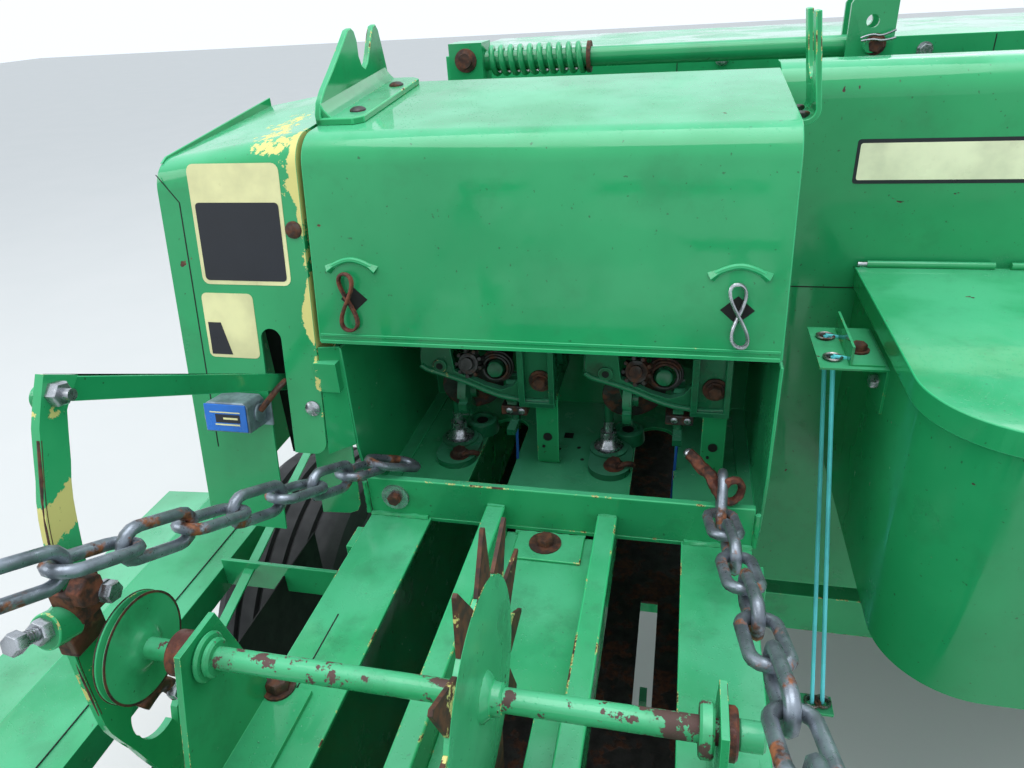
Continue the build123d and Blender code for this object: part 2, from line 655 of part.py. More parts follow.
# Brackets of the meter shaft on the side strips
METER_LEFT = -248.0
METER_RIGHT = 192.0
with BuildPart() as meter_brackets:
    for bracket_x in (METER_LEFT, METER_RIGHT):
        with BuildSketch(Plane.YZ.offset(CASE_X + bracket_x)):
            with BuildLine():
                Polyline(
                    (BAR_Y + METER_Y - 70, DECK_Z),
                    (BAR_Y + METER_Y - 26, DECK_Z + METER_Z + 26),
                    (BAR_Y + METER_Y + 26, DECK_Z + METER_Z + 26),
                    (BAR_Y + METER_Y + 70, DECK_Z),
                    close=True,
                )
            make_face()
            with Locations((BAR_Y + METER_Y, DECK_Z + METER_Z)):
                Circle(METER_R + RUN_GAP, mode=Mode.SUBTRACT)
        extrude(amount=CASE_PLATE)
        with Locations((CASE_X + bracket_x + CASE_PLATE, BAR_Y + METER_Y, DECK_Z)):
            Box(44 if bracket_x < 0 else 40, 140, CASE_PLATE, align=(Align.MIN, Align.CENTER, Align.MIN))
meter_brackets.part.label = "meter_brackets"
export_step(meter_brackets.part, "parts/meter_brackets.step")

# Meter shaft with its star wheel, grooved disc and collars
STAR_TEETH = 16
TOOTH_LENGTH = 46.0
GROOVE_X = -314.0
GROOVE_R = 56.0
with BuildPart() as meter_wheel:
    with BuildSketch(Plane.YZ.offset(CASE_X + GROOVE_X - 15)):
        with Locations((BAR_Y + METER_Y, DECK_Z + METER_Z)):
            Circle(METER_R)
    extrude(amount=METER_RIGHT + 22 - GROOVE_X + 15)
    with BuildSketch(Plane.YZ.offset(CASE_X + STAR_X - STAR_THICK / 2)):
        with Locations((BAR_Y + METER_Y, DECK_Z + METER_Z)):
            Circle(STAR_R - TOOTH_LENGTH + 4)
    extrude(amount=STAR_THICK)
    # pointed teeth, set left and right in turn
    for turn, tooth_set in ((0, -STAR_SET), (1, STAR_SET)):
        with BuildSketch(Plane.YZ.offset(CASE_X + STAR_X - STAR_THICK / 2 + tooth_set)):
            with Locations((BAR_Y + METER_Y, DECK_Z + METER_Z)):
                with PolarLocations(STAR_R, STAR_TEETH // 2, start_angle=turn * 360 / STAR_TEETH):
                    Polygon(
                        (0, 0),
                        (-TOOTH_LENGTH, 15),
                        (-TOOTH_LENGTH - 8, 0),
                        (-TOOTH_LENGTH, -15),
                        align=None,
                    )
        extrude(amount=STAR_THICK)
    with Locations((CASE_X + STAR_X + STAR_THICK / 2 + 10, BAR_Y + METER_Y, DECK_Z + METER_Z)):
        Cone(34, METER_R + 6, 20, rotation=(0, 90, 0))
    # grooved disc: two dished halves back to back
    for half_x, out_r, in_r in ((-6, GROOVE_R, GROOVE_R - 12), (6, GROOVE_R - 12, GROOVE_R)):
        with Locations((CASE_X + GROOVE_X + half_x, BAR_Y + METER_Y, DECK_Z + METER_Z)):
            Cone(out_r, in_r, 12, rotation=(0, 90, 0))
    # a collar on each side of both brackets
    for bracket_x in (METER_LEFT, METER_RIGHT):
        for collar_x in (bracket_x - 9, bracket_x + CASE_PLATE + 9):
            with Locations((CASE_X + collar_x, BAR_Y + METER_Y, DECK_Z + METER_Z)):
                Cylinder(METER_R + 9, 14, rotation=(0, 90, 0))
meter_wheel.part.label = "meter_wheel"
export_step(meter_wheel.part, "parts/meter_wheel.step")

# Long ribbed side cover left of the case, on two straps
COVER_IN = -530.0
COVER_Z = 850.0
COVER_REAR = -2050.0
COVER_FRONT = -1020.0
COVER_SHEET = 3.0
cover_line = (
    (CASE_X + COVER_IN, COVER_Z - 90),
    (CASE_X + COVER_IN, COVER_Z),
    (CASE_X + COVER_IN - 100, COVER_Z + 6),
    (CASE_X + COVER_IN - 113, COVER_Z + 14),
    (CASE_X + COVER_IN - 126, COVER_Z + 6),
    (LEFT_EDGE + 14, COVER_Z),
    (LEFT_EDGE, COVER_Z - 12),
    (LEFT_EDGE, COVER_Z - 60),
)
with BuildPart() as side_cover:
    with BuildSketch(Plane.XZ.offset(-COVER_FRONT)):
        with BuildLine():
            Polyline(*cover_line)
            offset(amount=COVER_SHEET, side=Side.LEFT)
        make_face()
    extrude(amount=COVER_FRONT - COVER_REAR)
side_cover.part.label = "side_cover"
export_step(side_cover.part, "parts/side_cover.step")

# Straps that carry the side cover
with BuildPart() as cover_straps:
    for strap_y in (-1215.0, -1790.0):
        with Locations((CASE_X - SIDE_OUT, strap_y, COVER_Z - 78)):
            Box(-COVER_IN - SIDE_OUT, CASE_PLATE, 50, align=(Align.MAX, Align.CENTER, Align.MIN))
cover_straps.part.label = "cover_straps"
export_step(cover_straps.part, "parts/cover_straps.step")

# Main frame: two rails and four cross members under the case, each with its place and underside
CROSS_MEMBERS = (
    (FRAME_REAR + 30, BEAM_TOP),
    (AXLE_Y, BEAM_TOP),
    (340.0, TONGUE_TOP),
    (FRAME_FRONT - 30, TONGUE_TOP),
)
with BuildPart() as main_frame:
    for side in (-1, 1):
        with Locations((CASE_X + side * (SIDE_OUT - FRAME_RAIL / 2), FRAME_REAR, BEAM_TOP)):
            Box(
                FRAME_RAIL,
                FRAME_FRONT - FRAME_REAR,
                FRAME_Z - BEAM_TOP,
                align=(Align.CENTER, Align.MIN, Align.MIN),
            )
    for cross_y, cross_low in CROSS_MEMBERS:
        with Locations((CASE_X, cross_y, cross_low)):
            Box(2 * SIDE_OUT, 60, FRAME_Z - cross_low, align=(Align.CENTER, Align.CENTER, Align.MIN))
    with Locations((CASE_X + SIDE_OUT, LIFT_Y, LIFT_Z)):
        Cylinder(
            PIVOT_PIN_R,
            PICKUP_LEFT + PICKUP_PLATE - CASE_X - SIDE_OUT,
            rotation=(0, 90, 0),
            align=(Align.CENTER, Align.CENTER, Align.MIN),
        )
main_frame.part.label = "main_frame"
export_step(main_frame.part, "parts/main_frame.step")

# Axle beam with a drop plate and spindle at each end
WHEELS = (
    ("left", -1, -1140.0, 360.0, 260.0, 205.0),
    ("right", 1, 1120.0, 330.0, 200.0, 190.0),
)
with BuildPart() as axle:
    with Locations((0, AXLE_Y, BEAM_Z)):
        Box(2 * BEAM_HALF, BEAM_SIZE, BEAM_SIZE)
    for name, side, wheel_x, tyre_r, tyre_width, bead_r in WHEELS:
        with Locations((side * (BEAM_HALF - BEAM_PLATE / 2), AXLE_Y, tyre_r - 60)):
            Box(
                BEAM_PLATE,
                BEAM_SIZE + 20,
                BEAM_TOP - tyre_r + 60,
                align=(Align.CENTER, Align.CENTER, Align.MIN),
            )
        spindle = abs(wheel_x) + 40 - BEAM_HALF
        with Locations((side * (BEAM_HALF + spindle / 2), AXLE_Y, tyre_r)):
            Cylinder(SPINDLE_R, spindle, rotation=(0, 90, 0))
axle.part.label = "axle"
export_step(axle.part, "parts/axle.step")

# Tyres, and dished wheels with a blind hub
for name, side, wheel_x, tyre_r, tyre_width, bead_r in WHEELS:
    half = tyre_width / 2
    wheel_axis = Axis((wheel_x, AXLE_Y, tyre_r), (1, 0, 0))
    wheel_plane = Plane(origin=(wheel_x, AXLE_Y, tyre_r), x_dir=(1, 0, 0), z_dir=(0, -1, 0))
    with BuildPart() as tyre:
        with BuildSketch(wheel_plane):
            with BuildLine():
                Polyline(
                    (-half + 28, bead_r),
                    (-half, (bead_r + tyre_r) / 2),
                    (-half + 30, tyre_r - 6),
                    (0, tyre_r),
                )
                mirror(about=Plane.YZ)
                Line((-half + 28, bead_r), (half - 28, bead_r))
            make_face()
        revolve(axis=wheel_axis)
    tyre.part.label = f"tyre_{name}"
    export_step(tyre.part, f"parts/tyre_{name}.step")
    rim_r = bead_r - RUN_GAP
    with BuildPart() as wheel:
        with BuildSketch(wheel_plane):
            with BuildLine():
                Polyline(
                    (-half + 27, rim_r),
                    (-half + 16, rim_r + 12),
                    (-half + 12, rim_r + 12),
                    (-half + 22, rim_r - 6),
                    (half - 22, rim_r - 6),
                    (half - 12, rim_r + 12),
                    (half - 16, rim_r + 12),
                    (half - 27, rim_r),
                    close=True,
                )
            make_face()
            with BuildLine():
                Polyline(
                    (side * 10, rim_r - 6),
                    (side * 10, rim_r - 20),
                    (side * 34, rim_r - 60),
                    (side * 26, HUB_R),
                    (side * 20, HUB_R),
                    (side * 26, rim_r - 60),
                    (side * 4, rim_r - 20),
                    (side * 4, rim_r - 6),
                    close=True,
                )
            make_face()
            with BuildLine():
                Polyline(
                    (-side * 50, SPINDLE_R + RUN_GAP),
                    (-side * 50, HUB_R),
                    (side * 50, HUB_R),
                    (side * 66, HUB_R - 14),
                    (side * 66, 0),
                    (side * 46, 0),
                    (side * 46, SPINDLE_R + RUN_GAP),
                    close=True,
                )
            make_face()
        revolve(axis=wheel_axis)
    wheel.part.label = f"rim_{name}"
    export_step(wheel.part, f"parts/rim_{name}.step")

# Gearbox at the front of the frame, with its input shaft
GEARBOX_WIDTH = 300.0
GEARBOX_REAR = 700.0
GEARBOX_FRONT = 1000.0
STUB_R = 25.0
with BuildPart() as gearbox:
    with BuildSketch(Plane.XY.offset(FRAME_Z)):
        with Locations((CASE_X, (GEARBOX_REAR + GEARBOX_FRONT) / 2)):
            Rectangle(2 * SIDE_OUT, GEARBOX_FRONT - GEARBOX_REAR)
    extrude(amount=16)
    with BuildSketch(Plane.YZ.offset(CASE_X - GEARBOX_WIDTH / 2)):
        with BuildLine():
            Polyline(
                (GEARBOX_REAR + 30, FRAME_Z + 16),
                (GEARBOX_REAR + 10, DRIVE_Z + 100),
                (GEARBOX_REAR + 60, DRIVE_Z + 150),
                (GEARBOX_FRONT - 70, DRIVE_Z + 110),
                (GEARBOX_FRONT - 20, DRIVE_Z + 60),
                (GEARBOX_FRONT - 20, DRIVE_Z - 60),
                (GEARBOX_FRONT - 50, FRAME_Z + 16),
                close=True,
            )
        make_face()
    extrude(amount=GEARBOX_WIDTH)
    for side in (-1, 1):
        with Locations((CASE_X + side * GEARBOX_WIDTH / 2, GEARBOX_REAR + 150, DRIVE_Z)):
            Cylinder(95, 36, rotation=(0, 90, 0))
        for rib_y in (GEARBOX_REAR + 50, GEARBOX_REAR + 150, GEARBOX_REAR + 250):
            with Locations((CASE_X + side * (GEARBOX_WIDTH / 2 + 8), rib_y, FRAME_Z + 16)):
                Box(16, 14, DRIVE_Z - FRAME_Z - 16 - 50, align=(Align.CENTER, Align.CENTER, Align.MIN))
    with Locations((CASE_X, GEARBOX_FRONT + 10, DRIVE_Z)):
        Cylinder(70, 60, rotation=(90, 0, 0))
    with Locations((CASE_X, GEARBOX_FRONT + 90, DRIVE_Z)):
        Cylinder(STUB_R, 180, rotation=(90, 0, 0))
gearbox.part.label = "gearbox"
export_step(gearbox.part, "parts/gearbox.step")

# Flywheel with four holes, a blind hub on the input shaft and a forked front end
RIM_DEPTH = 50.0
RIM_WIDTH = 80.0
WEB_THICK = 16.0
with BuildPart() as flywheel:
    with BuildSketch(Plane(origin=(CASE_X, FLYWHEEL_Y, DRIVE_Z), x_dir=(0, 1, 0), z_dir=(1, 0, 0))):
        with BuildLine():
            Polyline(
                (-RIM_WIDTH / 2, FLYWHEEL_R),
                (RIM_WIDTH / 2, FLYWHEEL_R),
                (RIM_WIDTH / 2, FLYWHEEL_R - RIM_DEPTH),
                (WEB_THICK / 2, FLYWHEEL_R - RIM_DEPTH - 8),
                (WEB_THICK / 2, 68),
                (100, 58),
                (130, 58),
                (130, 0),
                (50, 0),
                (50, STUB_R + RUN_GAP),
                (-70, STUB_R + RUN_GAP),
                (-70, 58),
                (-WEB_THICK / 2, 68),
                (-WEB_THICK / 2, FLYWHEEL_R - RIM_DEPTH - 8),
                (-RIM_WIDTH / 2, FLYWHEEL_R - RIM_DEPTH),
                close=True,
            )
        make_face()
    revolve(axis=Axis((CASE_X, FLYWHEEL_Y, DRIVE_Z), (0, 1, 0)))
    with BuildSketch(Plane(origin=(CASE_X, FLYWHEEL_Y, DRIVE_Z), x_dir=(1, 0, 0), z_dir=(0, -1, 0))):
        with PolarLocations(140, 4, start_angle=45):
            Circle(38)
    extrude(amount=20, both=True, mode=Mode.SUBTRACT)
    for side in (-1, 1):
        with Locations((CASE_X + side * 42, FLYWHEEL_Y + 130, DRIVE_Z)):
            Box(16, 60, 50, align=(Align.CENTER, Align.MIN, Align.CENTER))
flywheel.part.label = "flywheel"
export_step(flywheel.part, "parts/flywheel.step")

# Guard bow round the flywheel, on the tongue
BOW_R = 300.0
BOW_WIDTH = 150.0
with BuildPart() as flywheel_guard:
    with BuildSketch(Plane.XZ.offset(-FLYWHEEL_Y - BOW_WIDTH / 2)):
        with Locations((CASE_X, DRIVE_Z)):
            Circle(BOW_R + SHEET)
            Circle(BOW_R, mode=Mode.SUBTRACT)
            Rectangle(2 * BOW_R + 20, BOW_R + 20, align=(Align.CENTER, Align.MAX), mode=Mode.SUBTRACT)
        with Locations((CASE_X, TONGUE_TOP)):
            Rectangle(2 * BOW_R + 2 * SHEET, DRIVE_Z - TONGUE_TOP, align=(Align.CENTER, Align.MIN))
        with Locations((CASE_X, TONGUE_TOP + SHEET)):
            Rectangle(2 * BOW_R, DRIVE_Z - TONGUE_TOP, align=(Align.CENTER, Align.MIN), mode=Mode.SUBTRACT)
    extrude(amount=BOW_WIDTH)
flywheel_guard.part.label = "flywheel_guard"
export_step(flywheel_guard.part, "parts/flywheel_guard.step")

# Tongue beam with hitch plates, jack stub and rest for the drive shaft
TONGUE_FRONT = HITCH_TIP - 120.0
HITCH_Y = HITCH_TIP - 60.0
HITCH_PLATE = 20.0
PTO_REAR_Y = 1352.0
PTO_FRONT_Y = 2300.0
PTO_DROP = 120.0
PTO_TUBE_R = 33.0
REST_Y = 2110.0
pto_slope = PTO_DROP / (PTO_FRONT_Y - PTO_REAR_Y)
rest_z = DRIVE_Z - (REST_Y - PTO_REAR_Y) * pto_slope
with BuildPart() as tongue:
    with Locations((CASE_X, TONGUE_REAR, TONGUE_TOP)):
        Box(
            TONGUE_WIDTH,
            TONGUE_FRONT - TONGUE_REAR,
            TONGUE_DEPTH,
            align=(Align.CENTER, Align.MIN, Align.MAX),
        )
    for plate_z in (TONGUE_TOP, TONGUE_TOP - TONGUE_DEPTH - HITCH_PLATE):
        with BuildSketch(Plane.XY.offset(plate_z)):
            with Locations((CASE_X, HITCH_Y)):
                Circle(60)
                Circle(HITCH_R, mode=Mode.SUBTRACT)
            with Locations((CASE_X, HITCH_Y - 30)):
                Rectangle(TONGUE_WIDTH, 170, align=(Align.CENTER, Align.MAX))
            with Locations((CASE_X, HITCH_Y)):
                Rectangle(TONGUE_WIDTH, 32, align=(Align.CENTER, Align.MAX))
                Circle(HITCH_R, mode=Mode.SUBTRACT)
        extrude(amount=HITCH_PLATE)
    with Locations((CASE_X - TONGUE_WIDTH / 2 - 34, JACK_Y, JACK_Z)):
        Cylinder(20, 68, rotation=(0, 90, 0))
    with BuildSketch(Plane.XZ.offset(-REST_Y - 8)):
        with Locations((CASE_X, TONGUE_TOP)):
            Rectangle(90, rest_z - TONGUE_TOP, align=(Align.CENTER, Align.MIN))
        with Locations((CASE_X, rest_z)):
            Circle(PTO_TUBE_R + 1.6, mode=Mode.SUBTRACT)
    extrude(amount=16)
tongue.part.label = "tongue"
export_step(tongue.part, "parts/tongue.step")

# Drive shaft parked in its rest, with guard bells and a splined front yoke
pto_length = math.hypot(PTO_FRONT_Y - PTO_REAR_Y, PTO_DROP)
PTO_LINE = Plane(
    origin=(CASE_X, PTO_REAR_Y, DRIVE_Z),
    x_dir=(1, 0, 0),
    z_dir=((0), (PTO_FRONT_Y - PTO_REAR_Y) / pto_length, -PTO_DROP / pto_length),
)
SPLINE_R = 17.5
SPLINE_LENGTH = 90.0
with BuildPart(PTO_LINE) as pto_shaft:
    with Locations((0, 0, 10)):
        Box(60, 44, 30, align=(Align.CENTER, Align.CENTER, Align.MIN))
        Cylinder(26, 70, align=(Align.CENTER, Align.CENTER, Align.MIN))
    with Locations((0, 0, 60)):
        Cone(72, PTO_TUBE_R + 5, 90, align=(Align.CENTER, Align.CENTER, Align.MIN))
    with Locations((0, 0, 150)):
        Cylinder(PTO_TUBE_R + 5, 330, align=(Align.CENTER, Align.CENTER, Align.MIN))
    with Locations((0, 0, 480)):
        Cylinder(PTO_TUBE_R, 320, align=(Align.CENTER, Align.CENTER, Align.MIN))
    with Locations((0, 0, 790)):
        Cone(PTO_TUBE_R, 68, 70, align=(Align.CENTER, Align.CENTER, Align.MIN))
    with Locations((0, 0, 855)):
        Box(50, 50, 30, align=(Align.CENTER, Align.CENTER, Align.MIN))
        Cylinder(30, pto_length - 855, align=(Align.CENTER, Align.CENTER, Align.MIN))
    with Locations((0, 0, pto_length - SPLINE_LENGTH)):
        Cylinder(
            SPLINE_R, SPLINE_LENGTH, align=(Align.CENTER, Align.CENTER, Align.MIN), mode=Mode.SUBTRACT
        )
pto_shaft.part.label = "pto_shaft"
export_step(pto_shaft.part, "parts/pto_shaft.step")

# Parking jack: sleeve, leg and foot, hung on the tongue's stub
JACK_X = CASE_X - TONGUE_WIDTH / 2 - 100.0
JACK_R = 30.0
with BuildPart() as jack:
    with Locations((JACK_X, JACK_Y, 0)):
        Cylinder(80, 10, align=(Align.CENTER, Align.CENTER, Align.MIN))
        Cylinder(JACK_R - 7, 400, align=(Align.CENTER, Align.CENTER, Align.MIN))
    with Locations((JACK_X, JACK_Y, 190)):
        Cylinder(JACK_R, 560, align=(Align.CENTER, Align.CENTER, Align.MIN))
    with Locations((JACK_X, JACK_Y, 750)):
        Cylinder(JACK_R + 5, 26, align=(Align.CENTER, Align.CENTER, Align.MIN))
    with Locations((JACK_X - 52, JACK_Y, 764)):
        Box(150, 14, 10, align=(Align.CENTER, Align.CENTER, Align.MIN))
    with Locations((JACK_X - 118, JACK_Y, 764)):
        Cylinder(10, 80, align=(Align.CENTER, Align.CENTER, Align.MIN))
    with BuildSketch(Plane.YZ.offset(JACK_X + JACK_R - 8)):
        with Locations((JACK_Y, JACK_Z)):
            Circle(42)
            Circle(20 + RUN_GAP, mode=Mode.SUBTRACT)
    extrude(amount=38)
jack.part.label = "jack"
export_step(jack.part, "parts/jack.step")

# Feeder floor with two ribs down to the axle beam
with BuildPart() as feeder_floor:
    with Locations((FEEDER_LEFT, SHIELD_Y, FEEDER_FLOOR)):
        Box(
            FEEDER_RIGHT - FEEDER_LEFT,
            FEEDER_FRONT - SHIELD_Y,
            SHEET + 1,
            align=(Align.MIN, Align.MIN, Align.MAX),
        )
    for rib_x in (60.0, 780.0):
        with Locations((rib_x, AXLE_Y, BEAM_TOP)):
            Box(
                8,
                BEAM_SIZE,
                FEEDER_FLOOR - SHEET - 1 - BEAM_TOP,
                align=(Align.CENTER, Align.CENTER, Align.MIN),
            )
feeder_floor.part.label = "feeder_floor"
export_step(feeder_floor.part, "parts/feeder_floor.step")

# Rear shield of the feeder: upper panel bent forward at the top, lower wall behind the box
SHIELD_LEFT = CASE_X + BAY_RIGHT
SHIELD_TOP = DECK_Z + HOOD_FRONT_Z
SHIELD_BEND = 40.0
with BuildPart() as rear_shield:
    with BuildSketch(Plane.YZ.offset(SHIELD_LEFT)):
        with BuildLine():
            shield_line = FilletPolyline(
                (SHIELD_Y, FEEDER_FLOOR),
                (SHIELD_Y, SHIELD_TOP),
                (SHIELD_Y + 70, SHIELD_TOP),
                radius=SHIELD_BEND,
            )
            offset(amount=SHEET, side=Side.LEFT)
        make_face()
    extrude(amount=FEEDER_RIGHT - SHIELD_LEFT)
rear_shield.part.label = "rear_shield"
export_step(rear_shield.part, "parts/rear_shield.step")

# End plate of the feeder with the arm for the pickup's right pivot
COVER_BACK = -450.0
COVER_NOSE = 150.0
NOSE_BEND = 60.0
PIVOT_ARM = 10.0
PIVOT_ARM_X = PICKUP_RIGHT + SWING_GAP


def nose_corners(side_face):
    """The two corners of a side outline where the front cover bends down."""
    return [v for v in side_face.vertices() if v.X > COVER_BACK + 10 and v.Y > DECK_Z + 10]


with BuildPart() as feeder_end:
    with BuildSketch(Plane.YZ.offset(FEEDER_RIGHT)) as end_side:
        with BuildLine():
            Polyline(
                (SHIELD_Y - SHEET, FEEDER_FLOOR - 4),
                (SHIELD_Y - SHEET, SHIELD_TOP),
                (COVER_NOSE - 80, SHIELD_TOP),
                (COVER_NOSE, SHIELD_TOP - 200),
                (COVER_NOSE, DECK_Z),
                (FEEDER_FRONT - 10, DECK_Z - 120),
                (FEEDER_FRONT - 10, FEEDER_FLOOR - 4),
                close=True,
            )
        make_face()
        fillet(nose_corners(end_side), NOSE_BEND)
    extrude(amount=4)
    with Locations((FEEDER_RIGHT, FEEDER_FRONT - 45, FEEDER_FLOOR + 50)):
        Cylinder(
            16,
            PIVOT_ARM_X + PIVOT_ARM - FEEDER_RIGHT,
            rotation=(0, 90, 0),
            align=(Align.CENTER, Align.CENTER, Align.MIN),
        )
    with BuildSketch(Plane.YZ.offset(PIVOT_ARM_X)):
        with BuildLine():
            Polyline(
                (FEEDER_FRONT - 70, FEEDER_FLOOR + 70),
                (FEEDER_FRONT - 20, FEEDER_FLOOR + 70),
                (LIFT_Y + 28, LIFT_Z),
                (LIFT_Y, LIFT_Z - 28),
                (LIFT_Y - 28, LIFT_Z - 10),
                close=True,
            )
        make_face()
    extrude(amount=PIVOT_ARM)
    with Locations((PIVOT_ARM_X, LIFT_Y, LIFT_Z)):
        Cylinder(
            PIVOT_PIN_R,
            PIVOT_ARM_X - PICKUP_RIGHT + PICKUP_PLATE,
            rotation=(0, -90, 0),
            align=(Align.CENTER, Align.CENTER, Align.MIN),
        )
feeder_end.part.label = "feeder_end"
export_step(feeder_end.part, "parts/feeder_end.step")

# Front cover over the feeder and the case front
COVER_LEFT = CASE_X - 320.0
with BuildPart() as front_cover:
    with BuildSketch(Plane.YZ.offset(COVER_LEFT)) as cover_side:
        with BuildLine():
            Polyline(
                (COVER_BACK, DECK_Z),
                (COVER_BACK, SHIELD_TOP),
                (COVER_NOSE - 80, SHIELD_TOP),
                (COVER_NOSE, SHIELD_TOP - 200),
                (COVER_NOSE, DECK_Z),
                close=True,
            )
        make_face()
        fillet(nose_corners(cover_side), NOSE_BEND)
    extrude(amount=FEEDER_RIGHT - COVER_LEFT)
    offset(amount=-SHEET, openings=front_cover.faces().sort_by(Axis.Z)[0])
front_cover.part.label = "front_cover"
export_step(front_cover.part, "parts/front_cover.step")

# Feeder fork: a cross tube with curved fingers over the floor
FORK_Y = -650.0
FORK_Z = 1400.0
FORK_R = 26.0
FINGER_X = (-60.0, 40.0, 420.0, 520.0, 820.0, 920.0)
with BuildPart() as feeder_fork:
    with BuildSketch(Plane.YZ.offset(SHIELD_LEFT)):
        with Locations((FORK_Y, FORK_Z)):
            Circle(FORK_R)
    extrude(amount=FEEDER_RIGHT - SHIELD_LEFT)
    for finger_x in FINGER_X:
        with BuildSketch(Plane.YZ.offset(finger_x - 6)):
            with BuildLine():
                ThreePointArc(
                    (FORK_Y - 20, FORK_Z),
                    (FORK_Y - 44, FORK_Z - 330),
                    (FORK_Y + 10, FEEDER_FLOOR + 30),
                )
                ThreePointArc(
                    (FORK_Y + 10, FEEDER_FLOOR + 30),
                    (FORK_Y + 10, FORK_Z - 330),
                    (FORK_Y + 20, FORK_Z),
                )
                Line((FORK_Y + 20, FORK_Z), (FORK_Y - 20, FORK_Z))
            make_face()
        extrude(amount=12)
feeder_fork.part.label = "feeder_fork"
export_step(feeder_fork.part, "parts/feeder_fork.step")

# Feeder rod across the top, with its spring, swivel block and lever
ROD_Y = BAR_Y + 550.0
ROD_Z = DECK_Z + 520.0
ROD_R = 15.0
ROD_LEFT = CASE_X - 245.0
LEVER_X = 400.0
LEVER_WIDTH = 64.0
LEVER_SHEET = 8.0
LEVER_GAP = 40.0
LEVER_TOP = DECK_Z + 595.0
ROD_RIGHT = CASE_X + LEVER_X + 14.0
with BuildPart() as feeder_rod:
    with Locations((CASE_X - 215, ROD_Y, ROD_Z)):
        Box(56, 60, 60)
    with BuildSketch(Plane.XZ.offset(-ROD_Y + LEVER_GAP / 2 + LEVER_SHEET)):
        with BuildLine():
            Polyline(
                (CASE_X + LEVER_X - LEVER_WIDTH / 2, FORK_Z + FORK_R + 4),
                (CASE_X + LEVER_X - LEVER_WIDTH / 2, LEVER_TOP - 18),
                (CASE_X + LEVER_X - LEVER_WIDTH / 2 + 10, LEVER_TOP),
                (CASE_X + LEVER_X + LEVER_WIDTH / 2, LEVER_TOP),
                (CASE_X + LEVER_X + LEVER_WIDTH / 2, FORK_Z + FORK_R + 4),
                close=True,
            )
        make_face()
        with Locations((CASE_X + LEVER_X, LEVER_TOP - 42)):
            Circle(9, mode=Mode.SUBTRACT)
    extrude(amount=-LEVER_GAP - 2 * LEVER_SHEET)
    with Locations((CASE_X + LEVER_X, ROD_Y, FORK_Z + FORK_R + 16)):
        Box(
            LEVER_WIDTH + 2,
            LEVER_GAP,
            LEVER_TOP - FORK_Z - FORK_R,
            align=(Align.CENTER, Align.CENTER, Align.MIN),
            mode=Mode.SUBTRACT,
        )
    with BuildSketch(Plane.YZ.offset(ROD_LEFT)):
        with Locations((ROD_Y, ROD_Z)):
            Circle(ROD_R)
    extrude(amount=ROD_RIGHT - ROD_LEFT)
    with Locations((CASE_X + LEVER_X, ROD_Y, ROD_Z)):
        Cylinder(9, LEVER_GAP + 2 * LEVER_SHEET + 20, rotation=(90, 0, 0))
    with BuildSketch(Plane.YZ.offset(CASE_X + LEVER_X - LEVER_WIDTH / 2)):
        with Locations((FORK_Y, FORK_Z)):
            Circle(FORK_R + 14)
            Circle(FORK_R + RUN_GAP, mode=Mode.SUBTRACT)
    extrude(amount=LEVER_WIDTH)
feeder_rod.part.label = "feeder_rod"
export_step(feeder_rod.part, "parts/feeder_rod.step")

# Post that carries the swivel block at the rod's left end
with BuildPart() as rod_post:
    with Locations((CASE_X - 215, ROD_Y, DECK_Z)):
        Box(56, 60, ROD_Z - 30 - DECK_Z, align=(Align.CENTER, Align.CENTER, Align.MIN))
rod_post.part.label = "rod_post"
export_step(rod_post.part, "parts/rod_post.step")

# Compression spring on the rod
WIRE_R = 5.0
COIL_R = ROD_R + WIRE_R + RUN_GAP
COIL_PITCH = 17.0
COIL_TURNS = 10
with BuildPart() as feeder_spring:
    for turn in range(COIL_TURNS):
        with BuildSketch(Plane.XZ.offset(-ROD_Y)):
            with Locations((CASE_X - 186 + 8 + turn * COIL_PITCH, ROD_Z + COIL_R)):
                RegularPolygon(WIRE_R, 6)
        revolve(axis=Axis((0, ROD_Y, ROD_Z), (1, 0, 0)))
feeder_spring.part.label = "feeder_spring"
export_step(feeder_spring.part, "parts/feeder_spring.step")


def box_outline(inset):
    """Plan of the twine box: straight at the shield, round at its rear corners."""
    with BuildSketch() as outline:
        with Locations(((BOX_LEFT + BOX_RIGHT) / 2, SHIELD_Y - SHEET)):
            Rectangle(
                BOX_RIGHT - BOX_LEFT - 2 * inset,
                SHIELD_Y - SHEET - BOX_REAR - inset,
                align=(Align.CENTER, Align.MAX),
            )
        fillet(outline.vertices().group_by(Axis.Y)[0], BOX_CORNER - inset)
    return outline.sketch


# Twine box hung on the rear shield
BOX_INSET = SHEET + SWING_GAP
with BuildPart() as twine_box:
    extrude(box_outline(BOX_INSET).moved(Location((0, 0, BOX_BOTTOM))), amount=BOX_TOP - BOX_BOTTOM)
    offset(amount=-SHEET, openings=twine_box.faces().sort_by(Axis.Z)[-1])
twine_box.part.label = "twine_box"
export_step(twine_box.part, "parts/twine_box.step")

# Lid of the twine box with a rim turned down outside the box
LID_GAP = 12.0
with BuildPart() as twine_lid:
    extrude(box_outline(0).moved(Location((0, 0, BOX_TOP - LID_RIM))), amount=LID_RIM + SHEET)
    extrude(
        box_outline(SHEET).moved(Location((0, 0, BOX_TOP - LID_RIM))), amount=LID_RIM, mode=Mode.SUBTRACT
    )
    with Locations(((BOX_LEFT + BOX_RIGHT) / 2, SHIELD_Y - SHEET, BOX_TOP - LID_RIM)):
        Box(
            BOX_RIGHT - BOX_LEFT,
            LID_GAP,
            2 * LID_RIM + 20,
            align=(Align.CENTER, Align.MAX, Align.MIN),
            mode=Mode.SUBTRACT,
        )
twine_lid.part.label = "twine_lid"
export_step(twine_lid.part, "parts/twine_lid.step")

